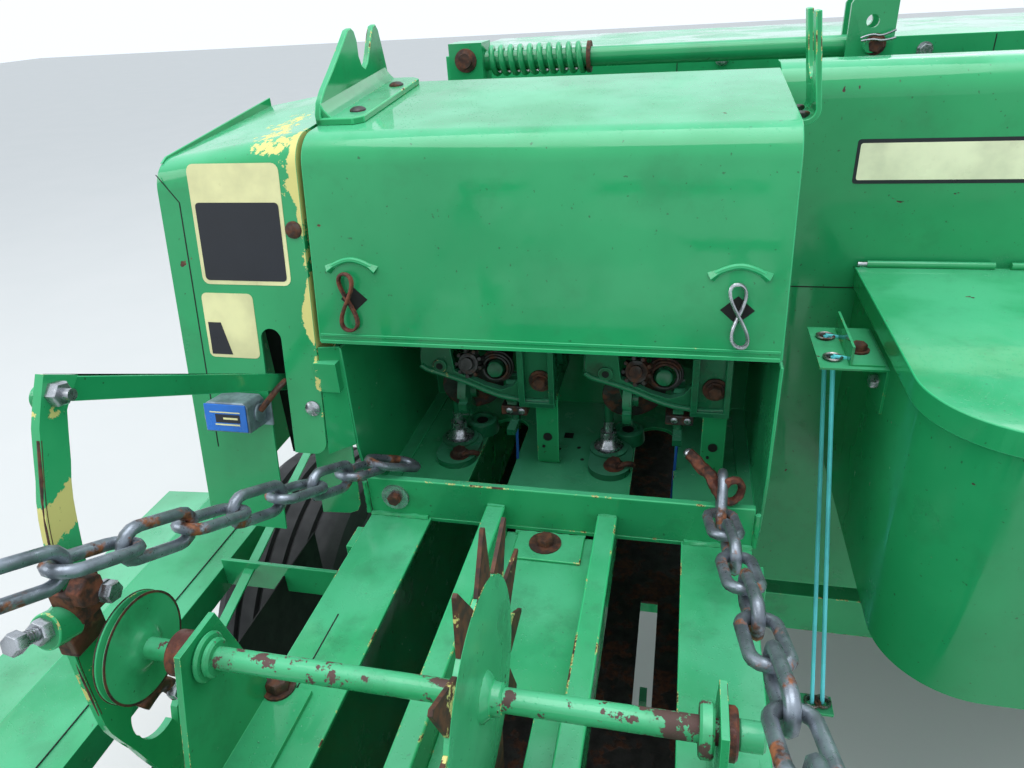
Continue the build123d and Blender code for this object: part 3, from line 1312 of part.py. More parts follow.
# Twine guide: a plate with two eyes on the box's side wall, with a clip bolted on it
GUIDE_LEFT = CASE_X + 316.0
GUIDE_RIGHT = BOX_LEFT + BOX_INSET
GUIDE_REAR = BAR_Y + 95.0
GUIDE_LENGTH = 120.0
GUIDE_Z = DECK_Z + 200.0
CLIP_LEFT = GUIDE_LEFT + 34.0
with BuildPart() as twine_guide:
    with BuildSketch(Plane.XY.offset(GUIDE_Z)):
        with Locations((GUIDE_LEFT, GUIDE_REAR)):
            Rectangle(GUIDE_RIGHT - GUIDE_LEFT, GUIDE_LENGTH, align=(Align.MIN, Align.MIN))
        with Locations((GUIDE_LEFT + 18, GUIDE_REAR + 26), (GUIDE_LEFT + 18, GUIDE_REAR + 88)):
            Circle(9, mode=Mode.SUBTRACT)
    extrude(amount=SHEET)
    with Locations((GUIDE_RIGHT, GUIDE_REAR, GUIDE_Z + SHEET)):
        Box(SHEET, GUIDE_LENGTH, 60, align=(Align.MAX, Align.MIN, Align.MAX))
    with Locations((CLIP_LEFT, GUIDE_REAR + 6, GUIDE_Z + SHEET)):
        Box(GUIDE_RIGHT - CLIP_LEFT - 4, GUIDE_LENGTH - 12, SHEET, align=(Align.MIN, Align.MIN, Align.MIN))
        Box(SHEET, GUIDE_LENGTH - 12, 26, align=(Align.MIN, Align.MIN, Align.MIN))
twine_guide.part.label = "twine_guide"
export_step(twine_guide.part, "parts/twine_guide.step")

# Plunger block standing on the chamber floor
with BuildPart() as plunger:
    with Locations((CASE_X, 120.0, FLOOR_Z)):
        Box(CHAMBER_WIDTH - 12, 420, CHAMBER_HEIGHT - 12, align=(Align.CENTER, Align.CENTER, Align.MIN))
plunger.part.label = "plunger"
export_step(plunger.part, "parts/plunger.step")

# Needle yoke: two sickle needles on a cross tube, cranked arms pinned to the frame rails
YOKE_Y = -560.0
YOKE_Z = 596.0
YOKE_ARM = SIDE_OUT + 12.0
YOKE_PLATE = 10.0
NEEDLE_OUT = 566.0
NEEDLE_IN = 538.0
NEEDLE_SPAN = 46.0
TUBE_Y = YOKE_Y - 552 * math.cos(math.radians(NEEDLE_SPAN))
TUBE_Z = YOKE_Z - 552 * math.sin(math.radians(NEEDLE_SPAN))
with BuildPart() as needle_yoke:
    for side in (-1, 1):
        with BuildSketch(Plane.YZ.offset(CASE_X + side * YOKE_ARM - YOKE_PLATE / 2)):
            with BuildLine():
                Polyline(
                    (YOKE_Y - 28, YOKE_Z + 10),
                    (YOKE_Y - 60, YOKE_Z - 200),
                    (TUBE_Y - 14, TUBE_Z + 26),
                    (TUBE_Y - 26, TUBE_Z - 22),
                    (TUBE_Y + 14, TUBE_Z - 26),
                    (YOKE_Y - 24, YOKE_Z - 250),
                    (YOKE_Y + 24, YOKE_Z - 20),
                    (YOKE_Y + 24, YOKE_Z + 28),
                    (YOKE_Y - 20, YOKE_Z + 28),
                    close=True,
                )
            make_face()
        extrude(amount=YOKE_PLATE)
        with Locations((CASE_X + side * SIDE_OUT, YOKE_Y, YOKE_Z)):
            Cylinder(
                18,
                YOKE_ARM - SIDE_OUT,
                rotation=(0, side * 90, 0),
                align=(Align.CENTER, Align.CENTER, Align.MIN),
            )
    with Locations((CASE_X, TUBE_Y, TUBE_Z)):
        Cylinder(24, 2 * YOKE_ARM + YOKE_PLATE, rotation=(0, 90, 0))
    for needle_x in NEEDLE_X:
        with BuildSketch(Plane.YZ.offset(CASE_X + needle_x - 6)):
            with Locations((YOKE_Y, YOKE_Z)):
                Circle(NEEDLE_OUT)
                Circle(NEEDLE_IN, mode=Mode.SUBTRACT)
            with BuildLine():
                Polyline(
                    (YOKE_Y, YOKE_Z),
                    (YOKE_Y + 2 * (TUBE_Y - YOKE_Y), YOKE_Z + 2 * (TUBE_Z - YOKE_Z)),
                    (YOKE_Y - 2 * NEEDLE_OUT, YOKE_Z),
                    close=True,
                )
            make_face(mode=Mode.INTERSECT)
        extrude(amount=12)
needle_yoke.part.label = "needle_yoke"
export_step(needle_yoke.part, "parts/needle_yoke.step")

# Pickup frame: two side plates round the reel, rear carrier tubes and the gauge wheel's arm
SIDE_R = 215.0
CARRY_Y = -160.0
CARRY_TOP = REEL_Z + BAND_R
CARRY_LOW = REEL_Z - BAND_R
GAUGE_R = 140.0
GAUGE_WIDTH = 84.0
GAUGE_Y = -60.0
GAUGE_Z = 232.0
GAUGE_X = RIGHT_EDGE - 8 - GAUGE_WIDTH / 2
REEL_SHAFT_R = 22.0
with BuildPart() as pickup_frame:
    for plate_x in (PICKUP_LEFT, PICKUP_RIGHT - PICKUP_PLATE):
        with BuildSketch(Plane.YZ.offset(plate_x)):
            with Locations((REEL_Y, REEL_Z)):
                Circle(SIDE_R)
            with BuildLine():
                Polyline(
                    (REEL_Y, REEL_Z + SIDE_R),
                    (REEL_Y, REEL_Z - SIDE_R),
                    (CARRY_Y - 25, REEL_Z - SIDE_R),
                    (LIFT_Y - 36, LIFT_Z - 30),
                    (LIFT_Y - 36, LIFT_Z + 36),
                    (LIFT_Y + 60, LIFT_Z + 36),
                    close=True,
                )
            make_face()
            with Locations((LIFT_Y, LIFT_Z)):
                Circle(PIVOT_PIN_R + RUN_GAP, mode=Mode.SUBTRACT)
            with Locations((REEL_Y, REEL_Z)):
                Circle(REEL_SHAFT_R + RUN_GAP, mode=Mode.SUBTRACT)
        extrude(amount=PICKUP_PLATE)
    for tube_z in (CARRY_TOP - 25, CARRY_LOW):
        with Locations((PICKUP_LEFT + PICKUP_PLATE, CARRY_Y - 12, tube_z)):
            Box(
                PICKUP_RIGHT - PICKUP_LEFT - 2 * PICKUP_PLATE,
                25,
                25,
                align=(Align.MIN, Align.CENTER, Align.MIN),
            )
    with Locations((PICKUP_RIGHT, GAUGE_Y, GAUGE_Z)):
        Cylinder(
            14,
            GAUGE_X + 20 - PICKUP_RIGHT,
            rotation=(0, 90, 0),
            align=(Align.CENTER, Align.CENTER, Align.MIN),
        )
pickup_frame.part.label = "pickup_frame"
export_step(pickup_frame.part, "parts/pickup_frame.step")

# Stripper bands bent round the reel, each with straight legs to the carriers
BAND_SHEET = 3.0
band_pitch = (PICKUP_RIGHT - PICKUP_LEFT - 2 * PICKUP_PLATE - 16) / BAND_COUNT
first_band = PICKUP_LEFT + PICKUP_PLATE + 8 + band_pitch / 2
with BuildPart() as stripper_bands:
    for band in range(BAND_COUNT):
        with BuildSketch(Plane.YZ.offset(first_band + band * band_pitch - BAND_WIDTH / 2)):
            with BuildLine():
                Line((CARRY_Y - 24, CARRY_TOP), (REEL_Y, CARRY_TOP))
                ThreePointArc((REEL_Y, CARRY_TOP), (REEL_Y + BAND_R, REEL_Z), (REEL_Y, CARRY_LOW))
                Line((REEL_Y, CARRY_LOW), (CARRY_Y - 24, CARRY_LOW))
                Line((CARRY_Y - 24, CARRY_LOW), (CARRY_Y - 24, CARRY_LOW - BAND_SHEET))
                Line((CARRY_Y - 24, CARRY_LOW - BAND_SHEET), (REEL_Y, CARRY_LOW - BAND_SHEET))
                ThreePointArc(
                    (REEL_Y, CARRY_LOW - BAND_SHEET),
                    (REEL_Y + BAND_R + BAND_SHEET, REEL_Z),
                    (REEL_Y, CARRY_TOP + BAND_SHEET),
                )
                Line((REEL_Y, CARRY_TOP + BAND_SHEET), (CARRY_Y - 24, CARRY_TOP + BAND_SHEET))
                Line((CARRY_Y - 24, CARRY_TOP + BAND_SHEET), (CARRY_Y - 24, CARRY_TOP))
            make_face()
        extrude(amount=BAND_WIDTH)
stripper_bands.part.label = "stripper_bands"
export_step(stripper_bands.part, "parts/stripper_bands.step")

# Windguard: a cross tube on two arms, with rods that trail over the pickup
GUARD_Y = 300.0
GUARD_Z = 760.0
ROD_COUNT = 11
with BuildPart() as windguard:
    for arm_x in (PICKUP_LEFT + PICKUP_PLATE, PICKUP_RIGHT - PICKUP_PLATE - 8):
        with BuildSketch(Plane.YZ.offset(arm_x)):
            with BuildLine():
                Polyline(
                    (REEL_Y - 30, REEL_Z + SIDE_R - 30),
                    (GUARD_Y - 20, GUARD_Z + 10),
                    (GUARD_Y + 20, GUARD_Z + 10),
                    (GUARD_Y + 20, GUARD_Z - 20),
                    (REEL_Y + 30, REEL_Z + SIDE_R - 60),
                    close=True,
                )
            make_face()
            with Locations((REEL_Y, REEL_Z)):
                Circle(BAND_R + 12, mode=Mode.SUBTRACT)
        extrude(amount=8)
    with BuildSketch(Plane.YZ.offset(PICKUP_LEFT + PICKUP_PLATE)):
        with Locations((GUARD_Y, GUARD_Z)):
            Circle(16)
    extrude(amount=PICKUP_RIGHT - PICKUP_LEFT - 2 * PICKUP_PLATE)
    rod_pitch = (PICKUP_RIGHT - PICKUP_LEFT - 120) / (ROD_COUNT - 1)
    for rod in range(ROD_COUNT):
        with Locations((PICKUP_LEFT + 60 + rod * rod_pitch, GUARD_Y - 190, GUARD_Z - 2)):
            Box(8, 400, 8)
windguard.part.label = "windguard"
export_step(windguard.part, "parts/windguard.step")

# Tine reel: shaft, end and middle spiders, tine bars and a tine in each gap between bands
BAR_ORBIT = 120.0
TINE_BAR_R = 12.0
TINE_SIZE = 6.0
with BuildPart() as tine_reel:
    with BuildSketch(Plane.YZ.offset(PICKUP_LEFT)):
        with Locations((REEL_Y, REEL_Z)):
            Circle(REEL_SHAFT_R)
    extrude(amount=PICKUP_RIGHT - PICKUP_LEFT)
    for spider_x in (PICKUP_LEFT + PICKUP_PLATE + 6, 415.0, PICKUP_RIGHT - PICKUP_PLATE - 14):
        with BuildSketch(Plane.YZ.offset(spider_x)):
            with Locations((REEL_Y, REEL_Z)):
                Circle(REEL_SHAFT_R + 24)
                with PolarLocations(BAR_ORBIT / 2, TINE_BARS):
                    Rectangle(BAR_ORBIT, 36)
                with PolarLocations(BAR_ORBIT, TINE_BARS):
                    Circle(18)
        extrude(amount=8)
    with BuildSketch(Plane.YZ.offset(PICKUP_LEFT + PICKUP_PLATE + 6)):
        with Locations((REEL_Y, REEL_Z)):
            with PolarLocations(BAR_ORBIT, TINE_BARS):
                RegularPolygon(TINE_BAR_R, 8)
    extrude(amount=PICKUP_RIGHT - PICKUP_LEFT - 2 * PICKUP_PLATE - 12)
    for gap in range(BAND_COUNT - 1):
        tine_x = first_band + (gap + 0.5) * band_pitch
        with BuildSketch(Plane.YZ.offset(tine_x - TINE_SIZE / 2)):
            with Locations((REEL_Y, REEL_Z)):
                with PolarLocations(BAR_ORBIT, TINE_BARS):
                    with Locations((0, TINE_SIZE / 2)):
                        Rectangle(TINE_R - BAR_ORBIT, TINE_SIZE, align=(Align.MIN, Align.CENTER))
        extrude(amount=TINE_SIZE)
tine_reel.part.label = "tine_reel"
export_step(tine_reel.part, "parts/tine_reel.step")

# Gauge wheel at the pickup's right end
with BuildPart() as gauge_wheel:
    with BuildSketch(Plane(origin=(GAUGE_X, GAUGE_Y, GAUGE_Z), x_dir=(1, 0, 0), z_dir=(0, -1, 0))):
        with BuildLine():
            Polyline(
                (-GAUGE_WIDTH / 2, 14 + RUN_GAP),
                (-GAUGE_WIDTH / 2, 34),
                (-10, 44),
                (-10, 84),
                (-GAUGE_WIDTH / 2 + 4, 92),
                (-GAUGE_WIDTH / 2, GAUGE_R - 14),
                (-GAUGE_WIDTH / 2 + 16, GAUGE_R),
                (GAUGE_WIDTH / 2 - 16, GAUGE_R),
                (GAUGE_WIDTH / 2, GAUGE_R - 14),
                (GAUGE_WIDTH / 2 - 4, 92),
                (10, 84),
                (10, 44),
                (GAUGE_WIDTH / 2 + 8, 34),
                (GAUGE_WIDTH / 2 + 8, 0),
                (24, 0),
                (24, 14 + RUN_GAP),
                close=True,
            )
        make_face()
    revolve(axis=Axis((GAUGE_X, GAUGE_Y, GAUGE_Z), (1, 0, 0)))
gauge_wheel.part.label = "gauge_wheel"
export_step(gauge_wheel.part, "parts/gauge_wheel.step")

# Bale chute folded up behind the case: flared frame, cross bars and a floor sheet
CHUTE_Y = CASE_REAR - 45.0
CHUTE_Z = 640.0
CHUTE_REACH = 1000.0
CHUTE_BAR = 30.0
CHUTE_FOOT = 250.0
CHUTE_HEAD = 480.0
CHUTE_SHEET_TOP = 560.0
CHUTE_PIN_R = 8.0
CHUTE_PIN_X = 180.0
chute_lean = math.asin((LENGTH / 2 + CHUTE_Y - CHUTE_BAR) / CHUTE_REACH)
chute_flare = (CHUTE_HEAD - CHUTE_FOOT) / CHUTE_REACH
CHUTE = Plane(
    origin=(CASE_X, CHUTE_Y, CHUTE_Z),
    x_dir=(1, 0, 0),
    z_dir=(0, -math.cos(chute_lean), -math.sin(chute_lean)),
)
CHUTE_WINDOWS = (
    (CHUTE_BAR, 280.0),
    (280.0 + CHUTE_BAR, CHUTE_SHEET_TOP - CHUTE_BAR),
    (CHUTE_SHEET_TOP, 800.0),
    (800.0 + CHUTE_BAR, CHUTE_REACH - CHUTE_BAR),
)


def chute_band(low, high, edge):
    """A stretch of the flared chute's plan, from low to high, set in from its sides."""
    low_half = CHUTE_FOOT + low * chute_flare - edge
    high_half = CHUTE_FOOT + high * chute_flare - edge
    with BuildSketch() as band:
        with BuildLine():
            Polyline((-low_half, low), (-high_half, high), (high_half, high), (low_half, low), close=True)
        make_face()
    return band.sketch


with BuildPart() as bale_chute:
    with BuildSketch(CHUTE):
        add(chute_band(0, CHUTE_REACH, 0))
        for low, high in CHUTE_WINDOWS:
            add(chute_band(low, high, CHUTE_BAR), mode=Mode.SUBTRACT)
    extrude(amount=CHUTE_BAR)
    with BuildSketch(CHUTE):
        add(chute_band(0, CHUTE_SHEET_TOP, 0))
    extrude(amount=SHEET)
    with Locations(CHUTE):
        with Locations((-CHUTE_PIN_X, 0, CHUTE_BAR / 2), (CHUTE_PIN_X, 0, CHUTE_BAR / 2)):
            Cylinder(CHUTE_BAR / 2, 60, rotation=(0, 90, 0))
            Cylinder(CHUTE_PIN_R + RUN_GAP, 70, rotation=(0, 90, 0), mode=Mode.SUBTRACT)
        for lug_x in (-CHUTE_PIN_X - 44, -CHUTE_PIN_X + 44, CHUTE_PIN_X - 44, CHUTE_PIN_X + 44):
            with Locations((lug_x, 0, CHUTE_BAR / 2)):
                Box(8 + 2 * SWING_GAP, 44, CHUTE_BAR + 2, mode=Mode.SUBTRACT)
bale_chute.part.label = "bale_chute"
export_step(bale_chute.part, "parts/bale_chute.step")

# Lugs and pins of the chute hinge at the case rear
hinge = CHUTE.from_local_coords(Vector(0, 0, CHUTE_BAR / 2))
with BuildPart() as chute_hinge:
    for side in (-1, 1):
        for lug_x in (CHUTE_PIN_X - 44, CHUTE_PIN_X + 44):
            with BuildSketch(Plane.YZ.offset(CASE_X + side * lug_x - 4)):
                with Locations((hinge.Y, hinge.Z)):
                    Circle(15)
                with BuildLine():
                    Polyline(
                        (hinge.Y, hinge.Z + 15),
                        (CASE_REAR, hinge.Z + 15),
                        (CASE_REAR, hinge.Z - 30),
                        (hinge.Y, hinge.Z - 15),
                        close=True,
                    )
                make_face()
            extrude(amount=8)
        with Locations((CASE_X + side * CHUTE_PIN_X, hinge.Y, hinge.Z)):
            Cylinder(CHUTE_PIN_R, 90, rotation=(0, 90, 0))
chute_hinge.part.label = "chute_hinge"
export_step(chute_hinge.part, "parts/chute_hinge.step")

# Chains from a hook over the crossbar to the chute
LINK_LENGTH = 57.0
LINK_WIDTH = 41.0
LINK_WIRE = 12.0
HOOK_THICK = 12.0
HOOK_DROP = 26.0
LINK_PITCH = LINK_LENGTH - 2 * LINK_WIRE - 0.5
CHAINS = (
    ("chain_left", -240.0, -456.0, 966.0),
    ("chain_right", 205.0, 297.0, 815.0),
)
for label, hook_x, eye_x, eye_reach in CHAINS:
    start = Vector(CASE_X + hook_x, BAR_REAR - HOOK_THICK - 0.5, DECK_Z + BAR_HEIGHT + 4)
    end = CHUTE.from_local_coords(Vector(eye_x, eye_reach, -1))
    run = end - start
    heading = run.normalized()
    across = heading.cross(Vector(0, 0, 1)).normalized()
    link_count = int((run.length - LINK_LENGTH) / LINK_PITCH) + 1
    with BuildPart() as chain:
        # hook over the crossbar
        with BuildSketch(Plane.YZ.offset(CASE_X + hook_x)):
            with Locations((BAR_Y, DECK_Z + BAR_HEIGHT + HOOK_THICK)):
                Rectangle(
                    BAR_THICK + 2 * HOOK_THICK + 2 * RUN_GAP,
                    HOOK_DROP + HOOK_THICK,
                    align=(Align.CENTER, Align.MAX),
                )
            with Locations((BAR_Y, DECK_Z + BAR_HEIGHT)):
                Rectangle(
                    BAR_THICK + 2 * RUN_GAP,
                    HOOK_DROP,
                    align=(Align.CENTER, Align.MAX),
                    mode=Mode.SUBTRACT,
                )
        extrude(amount=HOOK_THICK / 2, both=True)
        for link in range(link_count):
            centre = start + heading * (LINK_LENGTH / 2 + link * LINK_PITCH)
            turn = across if link % 2 else heading.cross(across)
            with BuildSketch(Plane(origin=centre, x_dir=heading, z_dir=turn)):
                with BuildLine():
                    Polyline(
                        (-LINK_LENGTH / 2, 0),
                        (-LINK_LENGTH / 2 + 14, LINK_WIDTH / 2),
                        (LINK_LENGTH / 2 - 14, LINK_WIDTH / 2),
                        (LINK_LENGTH / 2, 0),
                        (LINK_LENGTH / 2 - 14, -LINK_WIDTH / 2),
                        (-LINK_LENGTH / 2 + 14, -LINK_WIDTH / 2),
                        close=True,
                    )
                make_face()
                Rectangle(LINK_LENGTH - 2 * LINK_WIRE, LINK_WIDTH - 2 * LINK_WIRE, mode=Mode.SUBTRACT)
            extrude(amount=LINK_WIRE / 2, both=True)
    chain.part.label = label
    export_step(chain.part, f"parts/{label}.step")
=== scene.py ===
import bpy
import bmesh
import math
from mathutils import Matrix, Vector, noise as rough


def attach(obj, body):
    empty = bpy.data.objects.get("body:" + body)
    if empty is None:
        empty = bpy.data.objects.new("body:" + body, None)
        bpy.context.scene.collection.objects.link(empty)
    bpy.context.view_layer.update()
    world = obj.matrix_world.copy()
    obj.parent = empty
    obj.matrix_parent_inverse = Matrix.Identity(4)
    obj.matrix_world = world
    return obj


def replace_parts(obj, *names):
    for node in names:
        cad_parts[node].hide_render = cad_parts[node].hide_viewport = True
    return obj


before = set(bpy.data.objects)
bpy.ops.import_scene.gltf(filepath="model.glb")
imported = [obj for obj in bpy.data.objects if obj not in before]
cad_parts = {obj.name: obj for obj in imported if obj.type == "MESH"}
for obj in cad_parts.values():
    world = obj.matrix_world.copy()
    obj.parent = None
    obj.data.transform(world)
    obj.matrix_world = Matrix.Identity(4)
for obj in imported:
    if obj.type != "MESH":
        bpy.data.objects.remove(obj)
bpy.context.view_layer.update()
scene = bpy.context.scene

MM = 0.001
DECK = Vector((-0.540, -1.200, 1.000))
LEAN = math.tan(math.radians(9.7))
X, Y, Z = Vector((1, 0, 0)), Vector((0, 1, 0)), Vector((0, 0, 1))
OUT = Vector((0, -math.cos(math.atan(LEAN)), math.sin(math.atan(LEAN))))
NEEDLES = (-108.5, 122.5)


def deck(x, y, z):
    """A point in metres, from millimetres off the foot of the crossbar."""
    return DECK + Vector((x, y, z)) * MM


def deck_line(*rows):
    """Deck points from rows of x, y and z."""
    return [deck(*row) for row in rows]


def face(x, z, out=0.0):
    """A point on the leaning rear face of hood and shield, or off it by some millimetres."""
    return deck(x, (z - 255) * LEAN, z) + OUT * out * MM


# Material building blocks

def start_material(name):
    """A new node material: its tree, shader and Object coordinates."""
    made = bpy.data.materials.new(name)
    made.use_nodes = True
    tree = made.node_tree
    place = tree.nodes.new("ShaderNodeTexCoord").outputs["Object"]
    return made, tree, tree.nodes["Principled BSDF"], place


def feed(tree, socket, value):
    """Links an output to a socket, or sets a plain number or colour on it."""
    if isinstance(value, bpy.types.NodeSocket):
        tree.links.new(value, socket)
    else:
        socket.default_value = value


def cloud(tree, place, scale, detail=4.0, roughness=0.55, squeeze=None):
    """Soft noise between 0 and 1, squeezed along an axis where asked."""
    if squeeze:
        mapping = tree.nodes.new("ShaderNodeMapping")
        mapping.inputs["Scale"].default_value = squeeze
        tree.links.new(place, mapping.inputs["Vector"])
        place = mapping.outputs["Vector"]
    node = tree.nodes.new("ShaderNodeTexNoise")
    node.inputs["Scale"].default_value = scale
    node.inputs["Detail"].default_value = detail
    node.inputs["Roughness"].default_value = roughness
    tree.links.new(place, node.inputs["Vector"])
    return node.outputs["Fac"]


def cells(tree, place, scale):
    """Distance to the nearest of many scattered points."""
    node = tree.nodes.new("ShaderNodeTexVoronoi")
    node.inputs["Scale"].default_value = scale
    tree.links.new(place, node.inputs["Vector"])
    return node.outputs["Distance"]


def calc(tree, kind, first, second, third=0.5):
    """A Math node of one kind on two or three values."""
    node = tree.nodes.new("ShaderNodeMath")
    node.operation = kind
    for socket, value in zip(node.inputs, (first, second, third)):
        feed(tree, socket, value)
    return node.outputs[0]


def times(tree, first, second):
    """One value multiplied by another."""
    return calc(tree, "MULTIPLY", first, second)


def plus(tree, first, second):
    """One value added to another."""
    return calc(tree, "ADD", first, second)


def between(tree, value, low, high, out_low=0.0, out_high=1.0):
    """Maps a value's range to another, clamped, with a soft start and end."""
    node = tree.nodes.new("ShaderNodeMapRange")
    node.interpolation_type = "SMOOTHSTEP"
    for name, number in (("From Min", low), ("From Max", high), ("To Min", out_low), ("To Max", out_high)):
        node.inputs[name].default_value = number
    tree.links.new(value, node.inputs["Value"])
    return node.outputs["Result"]


def mixed(tree, share, first, second):
    """One colour over another by a share."""
    node = tree.nodes.new("ShaderNodeMix")
    node.data_type = "RGBA"
    feed(tree, node.inputs[0], share)
    feed(tree, node.inputs[6], first)
    feed(tree, node.inputs[7], second)
    return node.outputs[2]


def axis_of(tree, vector, letter):
    """One coordinate of a vector output."""
    split = tree.nodes.new("ShaderNodeSeparateXYZ")
    tree.links.new(vector, split.inputs[0])
    return split.outputs[letter]


def upward(tree):
    """1 on faces that look up, 0 on upright ones."""
    facing = tree.nodes.new("ShaderNodeNewGeometry")
    return between(tree, axis_of(tree, facing.outputs["Normal"], "Z"), 0.5, 0.95)


def stripe(tree, place, letter, middle, reach):
    """1 on a line across one axis, falling to 0 at its reach on both sides, in metres."""
    away = calc(tree, "ABSOLUTE", calc(tree, "SUBTRACT", axis_of(tree, place, letter), middle), 0.0)
    return between(tree, away, reach, 0.0)


def raised(tree, shader, height, depth, strength=1.0):
    """Surface relief from a height, in metres."""
    bump = tree.nodes.new("ShaderNodeBump")
    bump.inputs["Strength"].default_value = strength
    bump.inputs["Distance"].default_value = depth
    tree.links.new(height, bump.inputs["Height"])
    tree.links.new(bump.outputs["Normal"], shader.inputs["Normal"])


RUST = (0.115, 0.040, 0.018, 1)
DARK_RUST = (0.034, 0.016, 0.012, 1)
PRIMER = (0.66, 0.60, 0.20, 1)
GRIME = (0.020, 0.030, 0.014, 1)
# Pale green that upward faces are mixed towards: a painted sky reflection
PAINTED_SKY_REFLECTION = (0.20, 0.74, 0.46, 1)
# Marks on the wear pattern: where the paint goes, and where what lies under it goes too
BARE_FROM, BARE_TO = 0.68, 0.69
RUST_FROM, RUST_TO = 0.73, 0.75


def rust_tone(tree, place):
    """Rust that changes between red brown and nearly black."""
    return mixed(tree, between(tree, cloud(tree, place, 95.0), 0.35, 0.65), RUST, DARK_RUST)


def painted(name, light, dark, chips=0.0, grime=0.3, wet=0.22, near=(), under=PRIMER):
    """Wet gloss paint, worn to what lies under it and to rust near the lines it names, with a painted sky
    reflection on faces that look up.
    """
    made, tree, shader, place = start_material(name)
    tone = mixed(tree, between(tree, cloud(tree, place, 5.0), 0.3, 0.7), light, dark)
    dots = between(tree, cloud(tree, place, 170.0, 2.0), 0.70, 0.75)
    tone = mixed(tree, times(tree, dots, 0.6), tone, GRIME)
    ragged = cloud(tree, place, 55.0, 6.0, 0.7)
    patches = cloud(tree, place, 9.0, 4.0)
    worn = plus(tree, times(tree, ragged, 0.6), times(tree, patches, 0.4))
    scuffed = worn
    for amount, *lines in near:
        spot = amount
        for letter, middle, reach in lines:
            spot = times(tree, stripe(tree, place, letter, middle, reach), spot)
        scuffed = plus(tree, scuffed, spot)
    bare = between(tree, scuffed, BARE_FROM - chips, BARE_TO - chips)
    deepest = calc(tree, "MULTIPLY_ADD", scuffed, 0.4, times(tree, worn, 0.6))
    deep = between(tree, deepest, RUST_FROM - chips, RUST_TO - chips)
    pits = between(tree, cloud(tree, place, 36.0, 3.0, 0.6), RUST_FROM, RUST_TO)
    rust = rust_tone(tree, place)
    # Painted reflection: faces that look up turn paler towards the sky's tint, by a share that changes in
    # soft clouds
    painted_reflection = times(tree, upward(tree), between(tree, cloud(tree, place, 6.0), 0.35, 0.6, 0.12, 0.32))
    tone = mixed(tree, painted_reflection, tone, PAINTED_SKY_REFLECTION)
    colour = mixed(tree, bare, tone, mixed(tree, deep, under, rust))
    colour = mixed(tree, pits, colour, rust)
    dirt = times(tree, between(tree, cloud(tree, place, 13.0, 6.0, 0.65), 0.50, 0.72), grime)
    colour = mixed(tree, dirt, colour, GRIME)
    tree.links.new(colour, shader.inputs["Base Color"])
    gone = calc(tree, "MAXIMUM", calc(tree, "MAXIMUM", bare, pits), dirt)
    shine = between(tree, cloud(tree, place, 9.0, 3.0), 0.40, 0.60, wet - 0.06, wet + 0.12)
    tree.links.new(plus(tree, shine, times(tree, gone, 0.45)), shader.inputs["Roughness"])
    drops = times(tree, between(tree, cells(tree, place, 210.0), 0.25, 0.05), upward(tree))
    peel = times(tree, cloud(tree, place, 45.0, 2.0), 0.35)
    height = calc(tree, "SUBTRACT", plus(tree, drops, peel), times(tree, gone, 0.8))
    raised(tree, shader, height, 0.0004, 0.5)
    return made


def edge_highlight_and_wear(name, light, primer, rust):
    """A broken edge: a lighter paint as painted highlight, then primer, then rust, each past its own mark.
    """
    made, tree, shader, place = start_material(name)
    ragged = cloud(tree, place, 26.0, 6.0, 0.72)
    fine = cloud(tree, place, 8.0, 3.0)
    worn = plus(tree, times(tree, ragged, 0.7), times(tree, fine, 0.3))
    colour = mixed(tree, between(tree, worn, primer, primer + 0.015), light, PRIMER)
    deep = between(tree, worn, rust, rust + 0.02)
    tree.links.new(mixed(tree, deep, colour, rust_tone(tree, place)), shader.inputs["Base Color"])
    tree.links.new(plus(tree, times(tree, deep, 0.4), 0.3), shader.inputs["Roughness"])
    raised(tree, shader, ragged, 0.0006, 0.5)
    return made


def steel(name, clean, rusting, metal=0.85, roughness=0.42, rust=RUST):
    """Weathered steel with rust that gathers in patches."""
    made, tree, shader, place = start_material(name)
    patches = cloud(tree, place, 26.0, 6.0, 0.65)
    spread = between(tree, patches, 0.80 - rusting, 0.88 - rusting)
    darker = [c * 0.55 for c in clean[:3]] + [1]
    shades = mixed(tree, between(tree, cloud(tree, place, 60.0), 0.3, 0.7), clean, darker)
    rusted = mixed(tree, between(tree, cloud(tree, place, 110.0), 0.35, 0.65), rust, DARK_RUST)
    tree.links.new(mixed(tree, spread, shades, rusted), shader.inputs["Base Color"])
    tree.links.new(between(tree, spread, 0.0, 1.0, metal, 0.05), shader.inputs["Metallic"])
    grain = cloud(tree, place, 240.0, 3.0)
    mat = between(tree, grain, 0.3, 0.7, roughness - 0.1, roughness + 0.1)
    tree.links.new(plus(tree, mat, times(tree, spread, 0.35)), shader.inputs["Roughness"])
    raised(tree, shader, plus(tree, grain, times(tree, spread, 2.0)), 0.0003, 0.5)
    return made


def moulded(name, colour, roughness=0.5, scale=60.0):
    """Plastic, rubber or print with a slight change of tone and grain."""
    made, tree, shader, place = start_material(name)
    tone = between(tree, cloud(tree, place, 18.0), 0.3, 0.7)
    darker = [c * 0.78 for c in colour[:3]] + [1]
    tree.links.new(mixed(tree, tone, colour, darker), shader.inputs["Base Color"])
    mat = between(tree, cloud(tree, place, 30.0), 0.3, 0.7, roughness - 0.08, roughness + 0.12)
    tree.links.new(mat, shader.inputs["Roughness"])
    raised(tree, shader, cloud(tree, place, scale * 8, 2.0), 0.0002, 0.4)
    return made


